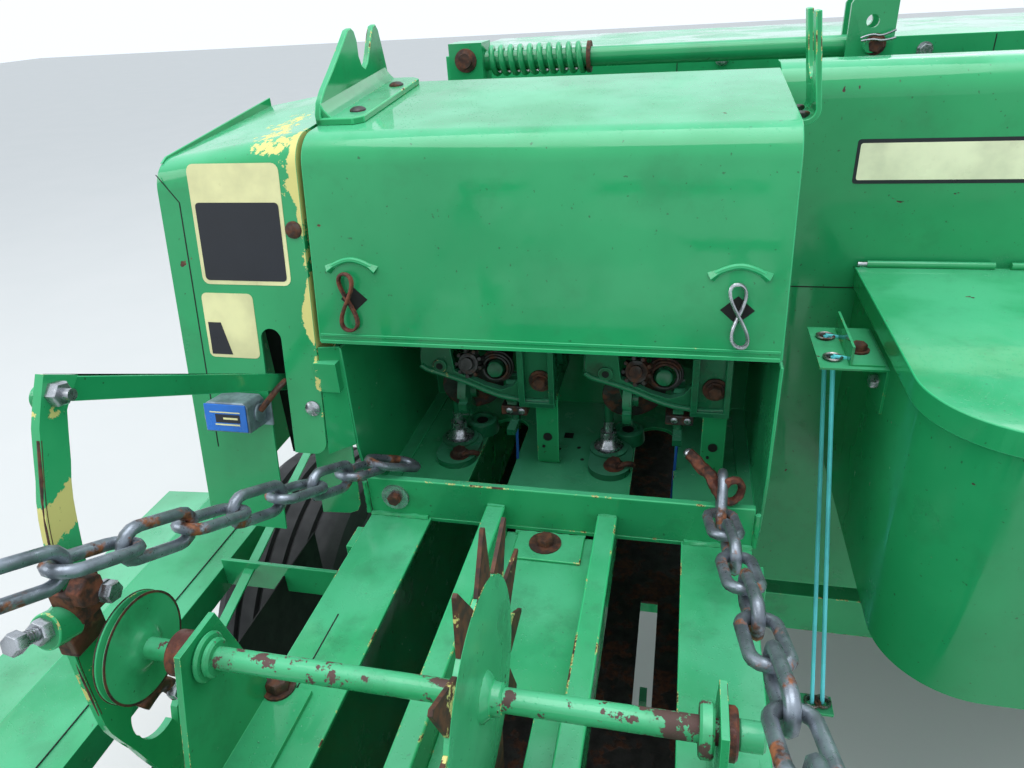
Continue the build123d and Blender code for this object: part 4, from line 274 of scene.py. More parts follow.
# Finishes: paint tones, then chips, grime and wet gloss; worn lines are share, axis, middle and reach
GREEN = (0.024, 0.335, 0.120, 1)
DEEP_GREEN = (0.015, 0.275, 0.095, 1)
panel_paint = painted("green panel paint", GREEN, DEEP_GREEN, -0.07, 0.16, 0.12)
worn_paint = painted("worn green paint", GREEN, DEEP_GREEN, -0.02, 0.28, 0.15)
SHAFT_WEAR = ((0.10, ("Y", -1.568, 0.030), ("Z", 1.125, 0.030)),)
SHAFT_GREEN = (0.07, 0.44, 0.20, 1)
SHAFT_RUST = (0.10, 0.05, 0.045, 1)
shaft_paint = painted("chipped shaft paint", SHAFT_GREEN, GREEN, 0.075, 0.3, 0.2, SHAFT_WEAR, SHAFT_RUST)
hood_paint = painted("hood paint", GREEN, DEEP_GREEN, -0.06, 0.14, 0.12, ((0.11, ("Z", 1.476, 0.014)),))
SHIELD_WEAR = (
    (0.27, ("X", -0.829, 0.013), ("Y", -1.175, 0.10)),
    (0.30, ("X", -0.870, 0.080), ("Z", 1.482, 0.030)),
    (0.28, ("X", -0.838, 0.035), ("Z", 1.440, 0.050), ("Y", -1.155, 0.12)),
    (0.34, ("X", -0.834, 0.020), ("Z", 1.285, 0.045), ("Y", -1.175, 0.12)),
)
shield_paint = painted("shield paint", GREEN, DEEP_GREEN, -0.06, 0.12, 0.12, SHIELD_WEAR)
ARM_WEAR = ((0.42, ("Z", 1.265, 0.030)), (0.16, ("Z", 1.10, 0.07)), (0.20, ("Z", 1.345, 0.02)))
arm_paint = painted("trip arm paint", (0.055, 0.44, 0.175, 1), GREEN, -0.02, 0.2, 0.15, ARM_WEAR)
CAST_GREEN = (0.012, 0.190, 0.075, 1)
cast_paint = painted("grimy casting paint", CAST_GREEN, (0.007, 0.095, 0.040, 1), 0.0, 0.75, 0.28)
rim_paint = painted("yellow wheel paint", (0.72, 0.50, 0.03, 1), (0.60, 0.40, 0.03, 1), -0.02, 0.5, 0.34)
# Bevel finishes: their lighter paint is a painted highlight on the edges; primer and rust show through
# where they wear
panel_edge = edge_highlight_and_wear("panel edge", (0.030, 0.420, 0.165, 1), 0.64, 0.65)
worn_edge_with_highlight = edge_highlight_and_wear("worn edge", (0.040, 0.450, 0.175, 1), 0.555, 0.570)
cast_edge = edge_highlight_and_wear("casting edge", (0.016, 0.200, 0.085, 1), 0.62, 0.63)
rim_edge = edge_highlight_and_wear("wheel edge", (0.72, 0.50, 0.05, 1), 0.60, 0.62)
bare_tooth = edge_highlight_and_wear("bare wheel tooth", (0.040, 0.340, 0.130, 1), 0.36, 0.40)
chain_steel = steel("galvanised chain", (0.28, 0.32, 0.37, 1), 0.24, 0.7, 0.36, (0.28, 0.095, 0.035, 1))
old_steel = steel("dark worn steel", (0.075, 0.072, 0.070, 1), 0.33, 0.6, 0.45)
bright_steel = steel("zinc bolt steel", (0.52, 0.54, 0.57, 1), 0.16, 0.9, 0.28)
rusty_steel = steel("rusty steel", (0.085, 0.050, 0.038, 1), 0.42, 0.4, 0.45)
red_rust = steel("red brown rust", (0.115, 0.030, 0.020, 1), 0.40, 0.2, 0.42, (0.19, 0.055, 0.026, 1))
polished_steel = steel("hay polished steel", (0.36, 0.35, 0.34, 1), 0.24, 0.9, 0.32)
tyre_rubber = moulded("tyre rubber", (0.022, 0.022, 0.024, 1), 0.72)
guard_plastic = moulded("black guard plastic", (0.016, 0.016, 0.017, 1), 0.45)
# Near black for dark seams, and painted shade for holes and for sheets where shade falls
shade_and_seam_black = moulded("dark gap", (0.004, 0.005, 0.004, 1), 0.8)
counter_blue = moulded("counter face blue", (0.012, 0.16, 0.62, 1), 0.30)
counter_grey = steel("counter case alloy", (0.26, 0.33, 0.38, 1), 0.10, 0.4, 0.45)
sticker_cream = moulded("cream sticker", (0.80, 0.76, 0.40, 1), 0.35)
# A lighter cream than the stickers, raised to make up for the shade on the rear shield: painted light
painted_light_band_cream = moulded("cream band", (1.0, 0.93, 0.66, 1), 0.35)
sticker_black = moulded("black sticker print", (0.008, 0.010, 0.016, 1), 0.35)
twine_blue = moulded("cyan twine", (0.17, 0.86, 0.95, 1), 0.6)
twine_deep = moulded("deep blue twine", (0.012, 0.10, 0.38, 1), 0.6)
EDGES = {
    panel_paint: panel_edge,
    hood_paint: panel_edge,
    shaft_paint: worn_edge_with_highlight,
    shield_paint: panel_edge,
    worn_paint: worn_edge_with_highlight,
    arm_paint: worn_edge_with_highlight,
    cast_paint: cast_edge,
    rim_paint: rim_edge,
}


# Mesh building blocks: each adds a shape to a bmesh, in metres

def rod(bm, start, end, radius, sides=20, end_radius=None):
    """A round bar between two points, its radius in millimetres."""
    run = end - start
    place = Matrix.Translation((start + end) / 2) @ run.to_track_quat("Z", "Y").to_matrix().to_4x4()
    last = radius if end_radius is None else end_radius
    made = bmesh.ops.create_cone(
        bm, cap_ends=True, segments=sides,
        radius1=radius * MM, radius2=last * MM, depth=run.length, matrix=place,
    )
    return made["verts"]


def block(bm, low, high):
    """A box between two corners given off the deck."""
    size = [abs(b - a) * MM for a, b in zip(low, high)]
    middle = deck(*[(a + b) / 2 for a, b in zip(low, high)])
    place = Matrix.Translation(middle) @ Matrix.Diagonal((*size, 1))
    return bmesh.ops.create_cube(bm, size=1, matrix=place)["verts"]


def plate(bm, outline, thickness):
    """A flat plate: its outline's points, and how far it is pushed out."""
    sheet = bm.faces.new([bm.verts.new(p) for p in outline])
    grown = bmesh.ops.extrude_face_region(bm, geom=[sheet], use_keep_orig=True)
    moved = [v for v in grown["geom"] if isinstance(v, bmesh.types.BMVert)]
    bmesh.ops.translate(bm, verts=moved, vec=thickness)
    return list(sheet.verts) + moved


def sticker(bm, low, high, on, corner=8.0, thick=0.5):
    """A thin plate with round corners on a face, from its low to its high corner."""
    (left, bottom), (right, top) = low, high
    outline = []
    for x, z, turn in ((right, top, 0), (left, top, 90), (left, bottom, 180), (right, bottom, 270)):
        centre_x = x - corner if turn in (0, 270) else x + corner
        centre_z = z - corner if turn in (0, 90) else z + corner
        for step in range(5):
            angle = math.radians(turn + step * 22.5)
            outline.append(on(centre_x + corner * math.cos(angle), centre_z + corner * math.sin(angle)))
    normal = (outline[7] - outline[0]).cross(outline[12] - outline[0]).normalized()
    plate(bm, outline, normal * thick * MM)


def turned(bm, origin, axis, profile, sides=32):
    """A profile of (along, out) millimetres spun round an axis; it closes itself off the axis."""
    axis = axis.normalized()
    side = axis.orthogonal().normalized()
    verts = [bm.verts.new(origin + (axis * along + side * out) * MM) for along, out in profile]
    pairs = list(zip(verts, verts[1:]))
    if profile[0][1] > 0 or profile[-1][1] > 0:
        pairs.append((verts[-1], verts[0]))
    lines = [bm.edges.new(pair) for pair in pairs]
    before = set(bm.verts)
    bmesh.ops.spin(
        bm, geom=verts + lines, cent=origin, axis=axis, dvec=(0, 0, 0),
        angle=2 * math.pi, steps=sides, use_merge=True,
    )
    made = verts + [v for v in bm.verts if v not in before]
    bmesh.ops.remove_doubles(bm, verts=made, dist=1e-6)
    return [v for v in made if v.is_valid]


def bent_rod(bm, points, radius, closed=False, straight=False, ring=2):
    """A round wire along points, its radius in millimetres."""
    curve = bpy.data.curves.new("wire", "CURVE")
    curve.dimensions = "3D"
    curve.bevel_depth = radius * MM
    curve.bevel_resolution = ring
    curve.use_fill_caps = not closed
    spline = curve.splines.new("POLY" if straight else "NURBS")
    spline.points.add(len(points) - 1)
    for point, where in zip(spline.points, points):
        point.co = (*where, 1)
    spline.use_cyclic_u = closed
    if not straight:
        spline.order_u = 3
        spline.use_endpoint_u = not closed
        spline.resolution_u = 5
    holder = bpy.data.objects.new("wire", curve)
    mesh = bpy.data.meshes.new_from_object(holder)
    before = set(bm.verts)
    bm.from_mesh(mesh)
    bpy.data.objects.remove(holder)
    bpy.data.meshes.remove(mesh)
    return [v for v in bm.verts if v not in before]


def hex_head(bm, seat, out, across=19.0, height=9.0, washer=0.0):
    """A hexagon bolt head, on a washer where asked."""
    out = out.normalized()
    base = seat
    if washer:
        rod(bm, base - out * MM, base + out * 2.5 * MM, washer)
        base = base + out * 2.5 * MM
    r = across / math.sqrt(3)
    turned(bm, base, out, [(-1, 0), (-1, r), (height * 0.82, r), (height, r * 0.86), (height, 0)], 6)


def nut_end(bm, seat, out, across=19.0, height=10.0, thread=12.0, washer=0.0):
    """A nut with the bolt's end standing out of it."""
    hex_head(bm, seat, out, across, height, washer)
    start = seat + out.normalized() * height * MM
    rod(bm, start, start + out.normalized() * thread * MM, across * 0.27, 16)


def round_head(bm, seat, out, radius=11.0, height=6.0):
    """A domed carriage bolt or rivet head."""
    dome = [(height * 0.35, radius * 0.96), (height * 0.8, radius * 0.6), (height, 0)]
    turned(bm, seat, out, [(-1, 0), (-1, radius)] + dome, 20)


def ripple(verts, amount, scale):
    """Uneven surface of a weld or casting."""
    for v in verts:
        v.co += rough.noise_vector(v.co * scale) * amount * MM


def weld(bm, start, end, radius=3.5):
    """A weld bead between two points."""
    steps = max(int((end - start).length / 0.006), 3)
    points = [start.lerp(end, i / steps) for i in range(steps + 1)]
    ripple(bent_rod(bm, points, radius, straight=True, ring=1), 1.6, 180)


COIL_STEPS = 14
COIL_WIRE = 5


def spring(bm, turns, start, run, radius, first, second):
    """A coil of round wire along a run in millimetres, turned from the first side to the second."""
    steps = turns * COIL_STEPS
    points = []
    for step in range(steps + 1):
        a = step * 2 * math.pi / COIL_STEPS
        out = (first * math.cos(a) + second * math.sin(a)) * radius
        points.append(start + (run * step / steps + out) * MM)
    bent_rod(bm, points, COIL_WIRE)


def as_object(bm, name, body, finish, soft, angle):
    """Turns a bmesh into a named object with its finish and broken edges, riding on its body."""
    mesh = bpy.data.meshes.new(name)
    bm.to_mesh(mesh)
    bm.free()
    made = bpy.data.objects.new(name, mesh)
    scene.collection.objects.link(made)
    mesh.materials.append(finish)
    mesh.shade_smooth()
    mesh.set_sharp_from_angle(angle=math.radians(angle))
    if soft:
        rounding = made.modifiers.new("broken edges", "BEVEL")
        rounding.width = soft * MM
        rounding.segments = 2
        rounding.limit_method = "ANGLE"
        rounding.angle_limit = math.radians(angle)
        rounding.harden_normals = True
        if finish in EDGES:
            mesh.materials.append(EDGES[finish])
            rounding.material = 1
    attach(made, body)
    return made


def finish_piece(bm, name, body, finish, stands_for=(), soft=0.0, angle=35):
    """Closes a bmesh and makes it a piece, in place of CAD nodes where it names them."""
    bmesh.ops.remove_doubles(bm, verts=bm.verts, dist=1e-7)
    bmesh.ops.recalc_face_normals(bm, faces=bm.faces)
    made = as_object(bm, name, body, finish, soft, angle)
    if stands_for:
        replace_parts(made, *stands_for)
    return made


# Small parts are gathered by body and finish, one mesh each
groups = {}


def group(name, finish, slot="green_paint", body="chassis", soft=0.0):
    """The bmesh of a named group of small parts, started on first use."""
    if name not in groups:
        groups[name] = (bmesh.new(), body, finish, slot, soft)
    return groups[name][0]


def fine_knotter(bm, knot_x):
    """Thins the foot column, flattens its ring, lifts the left cheek and slopes the strap leg."""
    for v in bm.verts:
        x, y, z = (v.co - deck(knot_x, 0, 0)) / MM
        if 21.5 < z < 110 and math.hypot(x + 67, y - 180) < 20.6:
            top = 40 if z > 60 else 0
            v.co = deck(knot_x - 67 + (x + 67) * 0.34, 180 + (y - 180) * 0.34, z + top)
        elif 12 < z < 23 and math.hypot(x + 67, y - 180) < 29:
            v.co.z = DECK.z + 0.013
        elif x < -54 and z > 85:
            v.co.z += (205 - z) * 0.46 * MM
        if 73.8 < x < 109 and z < 97 and 147 < y < 185:
            v.co.x = DECK.x + (knot_x + 76 + (x - 74) * 0.3) * MM


def between_points(table, at):
    """Straight interpolation in a table of rising pairs."""
    for (a, low), (b, high) in zip(table, table[1:]):
        if at <= b:
            return low + (high - low) * max(at - a, 0) / (b - a)
    return table[-1][1]


# Heights with the trip arm's middle in the CAD, its middle here, and its share of the CAD's width
OLD_ARM = ((-90, -335), (10, -367), (100, -380), (200, -374), (300, -352), (392, -316))
NEW_ARM = (
    (-90, -335), (10, -369), (50, -383), (100, -388), (147, -385),
    (216, -370), (277, -357), (372, -320), (392, -312),
)
ARM_WIDTH = ((0, 1.0), (100, 0.66), (400, 0.68))


def slender_arm(bm):
    """Trims the trip arm to its narrower curve above the notch, and lowers its top."""
    for v in bm.verts:
        x, y, z = (v.co - DECK) / MM
        if z > 12:
            off = (y - between_points(OLD_ARM, z)) * between_points(ARM_WIDTH, z)
            v.co.y = DECK.y + (between_points(NEW_ARM, z) + off) * MM
        if z > 340:
            v.co.z -= (z - 340) * (0.29 if off < 0 else 0.60) * MM


def short_link(bm):
    """Ends the trip link behind the arm, with its pin lowered to match."""
    for v in bm.verts:
        if v.co.y < DECK.y - 0.338:
            v.co += Vector((0, 29, -15)) * MM
        elif v.co.y < DECK.y - 0.3:
            v.co.z -= 14 * MM


def shallow_lip(bm):
    """Makes the side cover's folded inner edge shallower."""
    for v in bm.verts:
        x, y, z = (v.co - DECK) / MM
        if x > -545 and z < -170:
            v.co.z = deck(x, y, -194).z


def lifted(bm):
    """Sets the straps against the side cover's underside."""
    for v in bm.verts:
        v.co += Vector((0, 26, 44)) * MM


def dressed(node, finish, soft, slot="green_paint", body="chassis", change=None):
    """The CAD node's own shape with its edges broken and a finish on it."""
    bm = bmesh.new()
    bm.from_mesh(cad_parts[node].data)
    bmesh.ops.remove_doubles(bm, verts=bm.verts, dist=2e-5)
    bmesh.ops.dissolve_limit(bm, angle_limit=math.radians(0.6), verts=bm.verts, edges=bm.edges)
    if change:
        change(bm)
    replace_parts(as_object(bm, node + "_dressed", body, finish, soft, 32), node)


# Pieces whose CAD shape stays, with broken edges: node, finish, edge in millimetres,
# then slot and body where they aren't green paint on the chassis
DRESSED = (
    ("case_side_left", worn_paint, 1.2),
    ("case_side_right", worn_paint, 1.2),
    ("case_floor", old_steel, 0.5),
    ("case_deck", worn_paint, 1.0),
    ("rear_top_plates", worn_paint, 1.4),
    ("tension_rails", worn_paint, 2.4),
    ("crossbar", worn_paint, 1.8),
    ("bay_walls", panel_paint, 1.2),
    ("knotter_shaft", old_steel, 0.8, "bare_steel"),
    ("drive_shield", shield_paint, 1.0),
    ("meter_brackets", worn_paint, 1.4),
    ("main_frame", worn_paint, 2.0),
    ("axle", worn_paint, 2.0),
    ("gearbox", cast_paint, 6.0, "cast"),
    ("flywheel_guard", panel_paint, 0.8),
    ("tongue", worn_paint, 3.0),
    ("pto_shaft", guard_plastic, 1.5, "black_guard"),
    ("feeder_floor", worn_paint, 0.8),
    ("rear_shield", panel_paint, 0.8),
    ("feeder_end", panel_paint, 1.0),
    ("front_cover", panel_paint, 1.0),
    ("feeder_fork", worn_paint, 1.5),
    ("feeder_rod", panel_paint, 1.5),
    ("rod_post", panel_paint, 2.0),
    ("twine_box", panel_paint, 0.8),
    ("twine_guide", worn_paint, 0.8),
    ("plunger", polished_steel, 3.0, "bare_steel"),
    ("needle_yoke", worn_paint, 1.5, "bare_steel"),
    ("chute_hinge", worn_paint, 0.8),
    ("hood", hood_paint, 1.4, "green_paint", "hood"),
    ("catch_strap", worn_paint, 1.2, "green_paint", "hood"),
    ("twine_lid", panel_paint, 1.6, "green_paint", "twine_lid"),
    ("rim_left", rim_paint, 1.0, "rim_paint", "left_wheel"),
    ("rim_right", rim_paint, 1.0, "rim_paint", "right_wheel"),
    ("flywheel", cast_paint, 2.0, "cast", "flywheel"),
    ("pickup_frame", worn_paint, 1.0, "green_paint", "pickup"),
    ("stripper_bands", panel_paint, 0.5, "green_paint", "pickup"),
    ("windguard", worn_paint, 1.0, "green_paint", "pickup"),
    ("tine_reel", polished_steel, 0.5, "bare_steel", "reel"),
    ("gauge_wheel", tyre_rubber, 2.0, "wheel_rubber", "gauge"),
    ("bale_chute", worn_paint, 1.5, "green_paint", "chute"),
    ("jack", worn_paint, 1.0, "green_paint", "jack"),
)
for node, finish, soft, *slot_and_body in DRESSED:
    dressed(node, finish, soft, *slot_and_body)
for node, needle in zip(("knotter_left", "knotter_right"), NEEDLES):
    dressed(node, cast_paint, 1.5, "cast", change=lambda bm, x=needle: fine_knotter(bm, x))
dressed("trip_arm", arm_paint, 1.4, change=slender_arm)
dressed("side_cover", panel_paint, 0.8, change=shallow_lip)
dressed("cover_straps", panel_paint, 1.0, change=lifted)
dressed("trip_link", panel_paint, 1.0, change=short_link)


# Chains: round links from the crossbar to the chute, sizes in millimetres
LINK_HALF = 23
LINK_BEND = 15
LINK_WIRE = 6
LINK_PITCH = 64


def link_ring(bm, centre, along, across):
    """One long link of round wire."""
    points = []
    for side in (1, -1):
        for step in range(8):
            turn = math.pi * (step / 7 - 0.5)
            ahead = along * (LINK_HALF + LINK_BEND * math.cos(turn)) + across * LINK_BEND * math.sin(turn)
            points.append(centre + ahead * side * MM)
    bent_rod(bm, points, LINK_WIRE, closed=True, straight=True)


# Node, hook end, chute end, first link off the hook end, place and heading of the link on the crossbar
CHAINS = (
    ("chain_left", (-240, -17.5, 82), (-456, -1216.5, 603.4), 14, (-216, 12, 73), (0.48, 0.72, -0.50)),
    ("chain_right", (205, -17.5, 63), (297, -1205.1, 452.8), 45, (208, -18, 73), (0.02, 0.78, 0.62)),
)
for node, hook_end, chute_end, first, end_at, end_along in CHAINS:
    bm = bmesh.new()
    start = deck(*hook_end)
    run = deck(*chute_end) - start
    heading = run.normalized()
    across = heading.cross(Z).normalized()
    free = run.length / MM - first - LINK_HALF - LINK_BEND - LINK_WIRE
    for link in range(int(free / LINK_PITCH) + 1):
        turn = across if link % 2 == 0 else heading.cross(across)
        link_ring(bm, start + heading * (first + link * LINK_PITCH) * MM, heading, turn)
    along = Vector(end_along).normalized()
    link_ring(bm, deck(*end_at), along, along.cross(X if node == "chain_right" else Z).normalized())
    finish_piece(bm, node + "_links", "chassis", chain_steel, (node,), angle=60)
hook = group("chain_hook", red_rust, "chain_steel")
curl = deck_line((168, 38, 104), (178, 33, 99), (186, 27, 90), (194, 18, 90), (201, 6, 82), (209, -4, 72))
ripple(bent_rod(hook, curl, 8), 2.2, 110)
eye = []
for a in (0, 1.05, 2.1, 3.14, 4.2, 5.25):
    eye.append(deck(219 + 14 * math.cos(a), -8 + 6 * math.cos(a), 86 + 18 * math.sin(a)))
ripple(bent_rod(hook, eye, 5, closed=True), 1.6, 110)
zinc = group("zinc_bolts", bright_steel, "bare_steel")
round_head(zinc, deck(168, 38, 105), Vector((-0.6, 0.5, 0.6)), 6.5, 6)

# Meter shaft, star wheel, grooved disc and collars turn together
hub = deck(0, -368, 125)
star = hub + X * 9 * MM
disc = hub + X * -308 * MM
boss = [(2, 0), (2, 21), (4, 20), (9, 14), (16, 13), (18, 11), (18, 0)]
disc_side = [(0, 0), (0, 42), (2, 45), (3, 49), (5, 49)]
disc_dish = [(5, 44), (4, 36), (4.5, 33), (4, 26), (6, 20), (9, 17), (11, 12), (11, 0)]
bm = bmesh.new()
rod(bm, hub + X * -329 * MM, hub + X * 222 * MM, 10, 32)
turned(bm, star, X, [(-2.2, 0), (-2.2, 97), (2.2, 97), (2.2, 0)], 72)
ripple(turned(bm, star, X, boss, 32), 0.6, 200)
turned(bm, disc, X, disc_side + disc_dish, 64)
turned(bm, disc, -X, disc_side + [(5, 0)], 64)
finish_piece(bm, "meter_shaft", "meter", shaft_paint, ("meter_wheel",), soft=0.6)
teeth = group("star_teeth", bare_tooth, "green_paint", "meter")
TEETH = 12
TOOTH = ((-11, 93), (-11.5, 98), (-0.8, 144), (0.8, 144), (11.5, 98), (11, 93))
for tooth in range(TEETH):
    corners = []
    for swing, reach in TOOTH:
        angle = math.radians(13 + tooth * 360 / TEETH + swing)
        corners.append(hub + (X * 7.3 + Y * reach * math.cos(angle) + Z * reach * math.sin(angle)) * MM)
    plate(teeth, corners, X * 3.4 * MM)
rims = group("groove_rims", rusty_steel, "bare_steel", "meter")
for x in (-303.6, -313.4):
    turned(rims, hub + X * x * MM, X, [(0, 47.5), (0, 49.6), (1, 49.6), (1, 47.5)], 64)
for x, radius, width, name, finish in (
    (-270, 20, 20, "red_collars", red_rust),
    (-241, 22, 5, "collars", shaft_paint),
    (-236, 17, 7, "collars", shaft_paint),
    (178, 21, 11, "collars", shaft_paint),
    (197, 20, 9, "red_collars", red_rust),
    (206, 11.5, 20, "collars", shaft_paint),
):
    ring = [(0, 9), (0, radius - 2), (2, radius), (width - 2, radius), (width, radius - 2), (width, 9)]
    turned(group(name, finish, "bare_steel", "meter"), hub + X * x * MM, X, ring, 40)

# Knotters: front arm with its window, pinion, worm, bolts and straps
ARM_EDGE = (
    (-94, 164), (-88, 158), (-74, 154), (-50, 147), (-26, 139), (0, 127),
    (22, 120), (44, 117), (66, 115), (90, 117), (96, 121),
)
WINDOW = ((47, 196), (46, 152), (36, 138), (18, 132), (-4, 138), (-28, 149), (-46, 158), (-50, 196))
STRAP = ((135, 122), (140, 112), (141, 98), (137, 12), (142, 3), (152, 1))
FOOT = [(0, 0), (0, 26), (20, 24), (22, 17), (18, 14), (18, 0)]
COLLAR = [(-6, 0), (-6, 13), (6, 11), (8, 6), (8, 0)]
PINION = [(-8, 0), (-8, 17), (6, 15), (6, 9), (11, 9), (11, 0)]
TWINE_DISC = [(-4, 0), (-4, 40), (-1, 44), (2, 44), (4, 36), (4, 20), (7, 14), (7, 0)]
FOOT_BOLT = [
    (2, 0), (2, 21), (5, 22), (6, 18), (8, 18.5), (10, 17), (14, 13),
    (20, 11), (21, 12.5), (31, 12), (33, 8), (48, 7.5), (49, 0),
]
PAWL = ((-48, 130, 14), (-38, 128, 20), (-30, 132, 18), (-28, 138, 12))
TWINE_DROP = ((33, 150, 86), (31, 151, 20), (27, 152, -90))
casting = group("knotter_arms", cast_paint, "cast", soft=1.5)
straps = group("knotter_straps", worn_paint, soft=1.2)
painted_shade_holes = group("painted_shade_holes", shade_and_seam_black, "cast")
gears = group("knotter_gears", old_steel, "bare_steel", soft=0.6)
twine_discs = group("twine_discs", old_steel, "bare_steel")
knotter_blocks = group("knotter_blocks", old_steel, "bare_steel", soft=2)
rivets = group("rivets", bright_steel, "bare_steel")
rusty = group("rusty_bolts", rusty_steel, "bare_steel")
needle_twine = group("needle_twine", twine_deep, "blue_case")


def at(x, y, z):
    """A point in metres off the knotter that is being made."""
    return deck(needle + x, y, z)


for needle in NEEDLES:
    outline = ARM_EDGE + ((96, 199),) + WINDOW + ((-92, 199),)
    ripple(plate(casting, [at(x, 124, z) for x, z in outline], Y * 12 * MM), 0.5, 60)
    bent_rod(casting, [at(x, 123, z + 2) for x, z in ARM_EDGE], 4)
    block(casting, (needle + 46, 113, 118), (needle + 55, 126, 197))
    block(casting, (needle + 88, 114, 118), (needle + 96, 126, 197))
    block(casting, (needle + 46, 115, 111), (needle + 96, 126, 119))
    rod(casting, at(-66, 120, 166), at(-66, 126, 166), 10)
    turned(casting, at(-42, 224, 0), Z, FOOT, 28)
    turned(casting, at(10, 136, 158), Vector((0.1, -1, 0.3)), COLLAR, 20)
    bend = [at(64, y, z) for y, z in STRAP]
    plate(straps, bend + [p + Vector((0, 5, 3)) * MM for p in reversed(bend)], X * 32 * MM)
    # Dark discs of painted shade stand for the holes in arm, strap and foot
    rod(painted_shade_holes, at(-66, 119.6, 166), at(-66, 121, 166), 5)
    rod(painted_shade_holes, at(80, 137.6, 50), at(80, 141, 50), 6.5)
    rod(painted_shade_holes, at(74, 136.6, 34), at(74, 140, 34), 2.2)
    rod(painted_shade_holes, at(-42, 224, 18), at(-42, 224, 19), 9)
    tilt = Vector((-0.15, -1, 0.35)).normalized()
    pinion = at(-25, 130, 168)
    turned(gears, pinion, tilt, PINION, 24)
    side = tilt.orthogonal().normalized()
    for tooth in range(9):
        spoke = Matrix.Rotation(math.radians(tooth * 40), 4, tilt) @ side
        low = pinion - tilt * 6 * MM + spoke * 17 * MM
        rod(gears, low, pinion + tilt * 5 * MM + spoke * 18 * MM, 4.5, 8, 3)
    for reach, back in ((21, 0), (24, 4), (18, -3)):
        ring = []
        for step in range(12):
            a = step * math.pi / 6
            up = reach * 0.9 * math.sin(a)
            ring.append(at(11 + reach * math.cos(a), 137 + back + 4 * math.sin(a), 160 + up))
        bent_rod(gears, ring, 2.2, closed=True)
    turned(twine_discs, at(-30, 156, 122), Vector((0.25, -1, -0.25)), TWINE_DISC, 48)
    block(knotter_blocks, (needle + 14, 136, 84), (needle + 52, 168, 99))
    for x in (26, 44):
        round_head(rivets, at(x, 136, 91.5), -Y, 5, 2.5)
    turned(zinc, at(-67, 180, 11), Z, FOOT_BOLT, 32)
    rod(rusty, at(76, 127, 150), at(76, 121, 150), 16)
    hex_head(rusty, at(76, 121, 150), -Y, 17, 8, 12)
    hex_head(rusty, at(-55, 134, 10), Z + Y * -0.1, 19, 9, 15)
    bent_rod(rusty, [at(*p) for p in PAWL], 4)
    bent_rod(needle_twine, [at(*p) for p in TWINE_DROP], 2.2, straight=True)

# Hood: folded hem, latch holes as dark plates of painted shade with hairpins, and stiffening arcs
hem = group("hood_hem", hood_paint, "green_paint", "hood", 0.8)
for low, high, stand in ((254.5, 259, 3), (263, 266.5, 1.8)):
    plate(hem, [face(-279, low), face(256, low), face(256, high), face(-279, high)], OUT * stand * MM)
holes = group("latch_hole_shade", shade_and_seam_black, "green_paint", "hood")
LATCH_Z = 309
# Middle and half width of the hole, then the hairpin's place, top, bottom, finish and name
PINS = (
    (-231, 17, -238, 325.7, 287, red_rust, "rusty_hairpin"),
    (208, 18, 206, 322, 286, bright_steel, "steel_hairpin"),
)
for middle, half, pin_x, upper, lower, finish, name in PINS:
    tall = half * 0.85
    rim = [face(middle + x, LATCH_Z + z) for x, z in ((-half, 0), (0, -tall), (half, 0), (0, tall))]
    plate(holes, rim, OUT * 0.4 * MM)
    drift = 2 if middle < 0 else 7
    wire = []
    for step in range(24):
        a = step * math.pi / 12
        wide = 9.5 * math.sin(2 * a) if name == "rusty_hairpin" else -8.5 * math.sin(2 * a)
        z = (upper + lower) / 2 + 34 * math.cos(a)
        wire.append(face(pin_x + drift * (1 - math.cos(a)) / 2 + wide, z, 5 + 3 * math.sin(a)))
    hairpin = group(name, finish, "bare_steel", "hood")
    for shift in (0, 3.6):
        bent_rod(hairpin, [p + OUT * shift * MM for p in wire], 1.9, closed=True)
    arcs = group("hood_arcs", hood_paint, "green_paint", "hood", 0.6)
    arc = [(middle - 25, 347), (middle - 16, 352), (middle, 356), (middle + 16, 352), (middle + 25, 347)]
    bent_rod(arcs, [face(x, z, 0) for x, z in arc], 3.6)
    for side in (-1, 1):
        rod(arcs, face(middle + side * 22, 348.5, 0), face(middle + side * 30, 343, -1), 4, 4, 7)

# Drive shield: blank stickers, seam, domed bolts, counter
cream = group("cream_stickers", sticker_cream)
ink = group("black_stickers", sticker_black)
sticker(cream, (-431, 323), (-311, 464), face, 9)
sticker(ink, (-426, 328), (-316, 420), lambda x, z: face(x, z, 0.4), 5)
sticker(cream, (-437, 230), (-366, 312), face, 7)
dark_corner = ((-433, 234), (-404, 234), (-415, 275), (-433, 275))
plate(ink, [face(x, z, 0.5) for x, z in dark_corner], OUT * 0.3 * MM)
gaps = group("dark_seams", shade_and_seam_black)
plate(gaps, [face(-447.8, 105), face(-446.4, 105), face(-446.4, 420), face(-447.8, 420)], OUT * 0.4 * MM)
plate(gaps, [face(-447.8, 420), face(-446.4, 420), face(-472.6, 452), face(-474, 452)], OUT * 0.4 * MM)
round_head(rusty, face(-300, 389), OUT, 10.5, 6)
round_head(zinc, face(-301, 168), OUT, 10.5, 6)
case = bmesh.new()
UP = OUT.cross(X)
base = face(0, 165.6)


def on_counter(x, up, out):
    """A point beside the counter: across, up and off the shield's face."""
    return base + (X * x + UP * up + OUT * out) * MM


def counter_panel(bm, low, high, out, thick):
    """A flat panel on the counter, from its low to its high corner."""
    corners = (low, (high[0], low[1]), high, (low[0], high[1]))
    plate(bm, [on_counter(x, up, out) for x, up in corners], OUT * thick * MM)


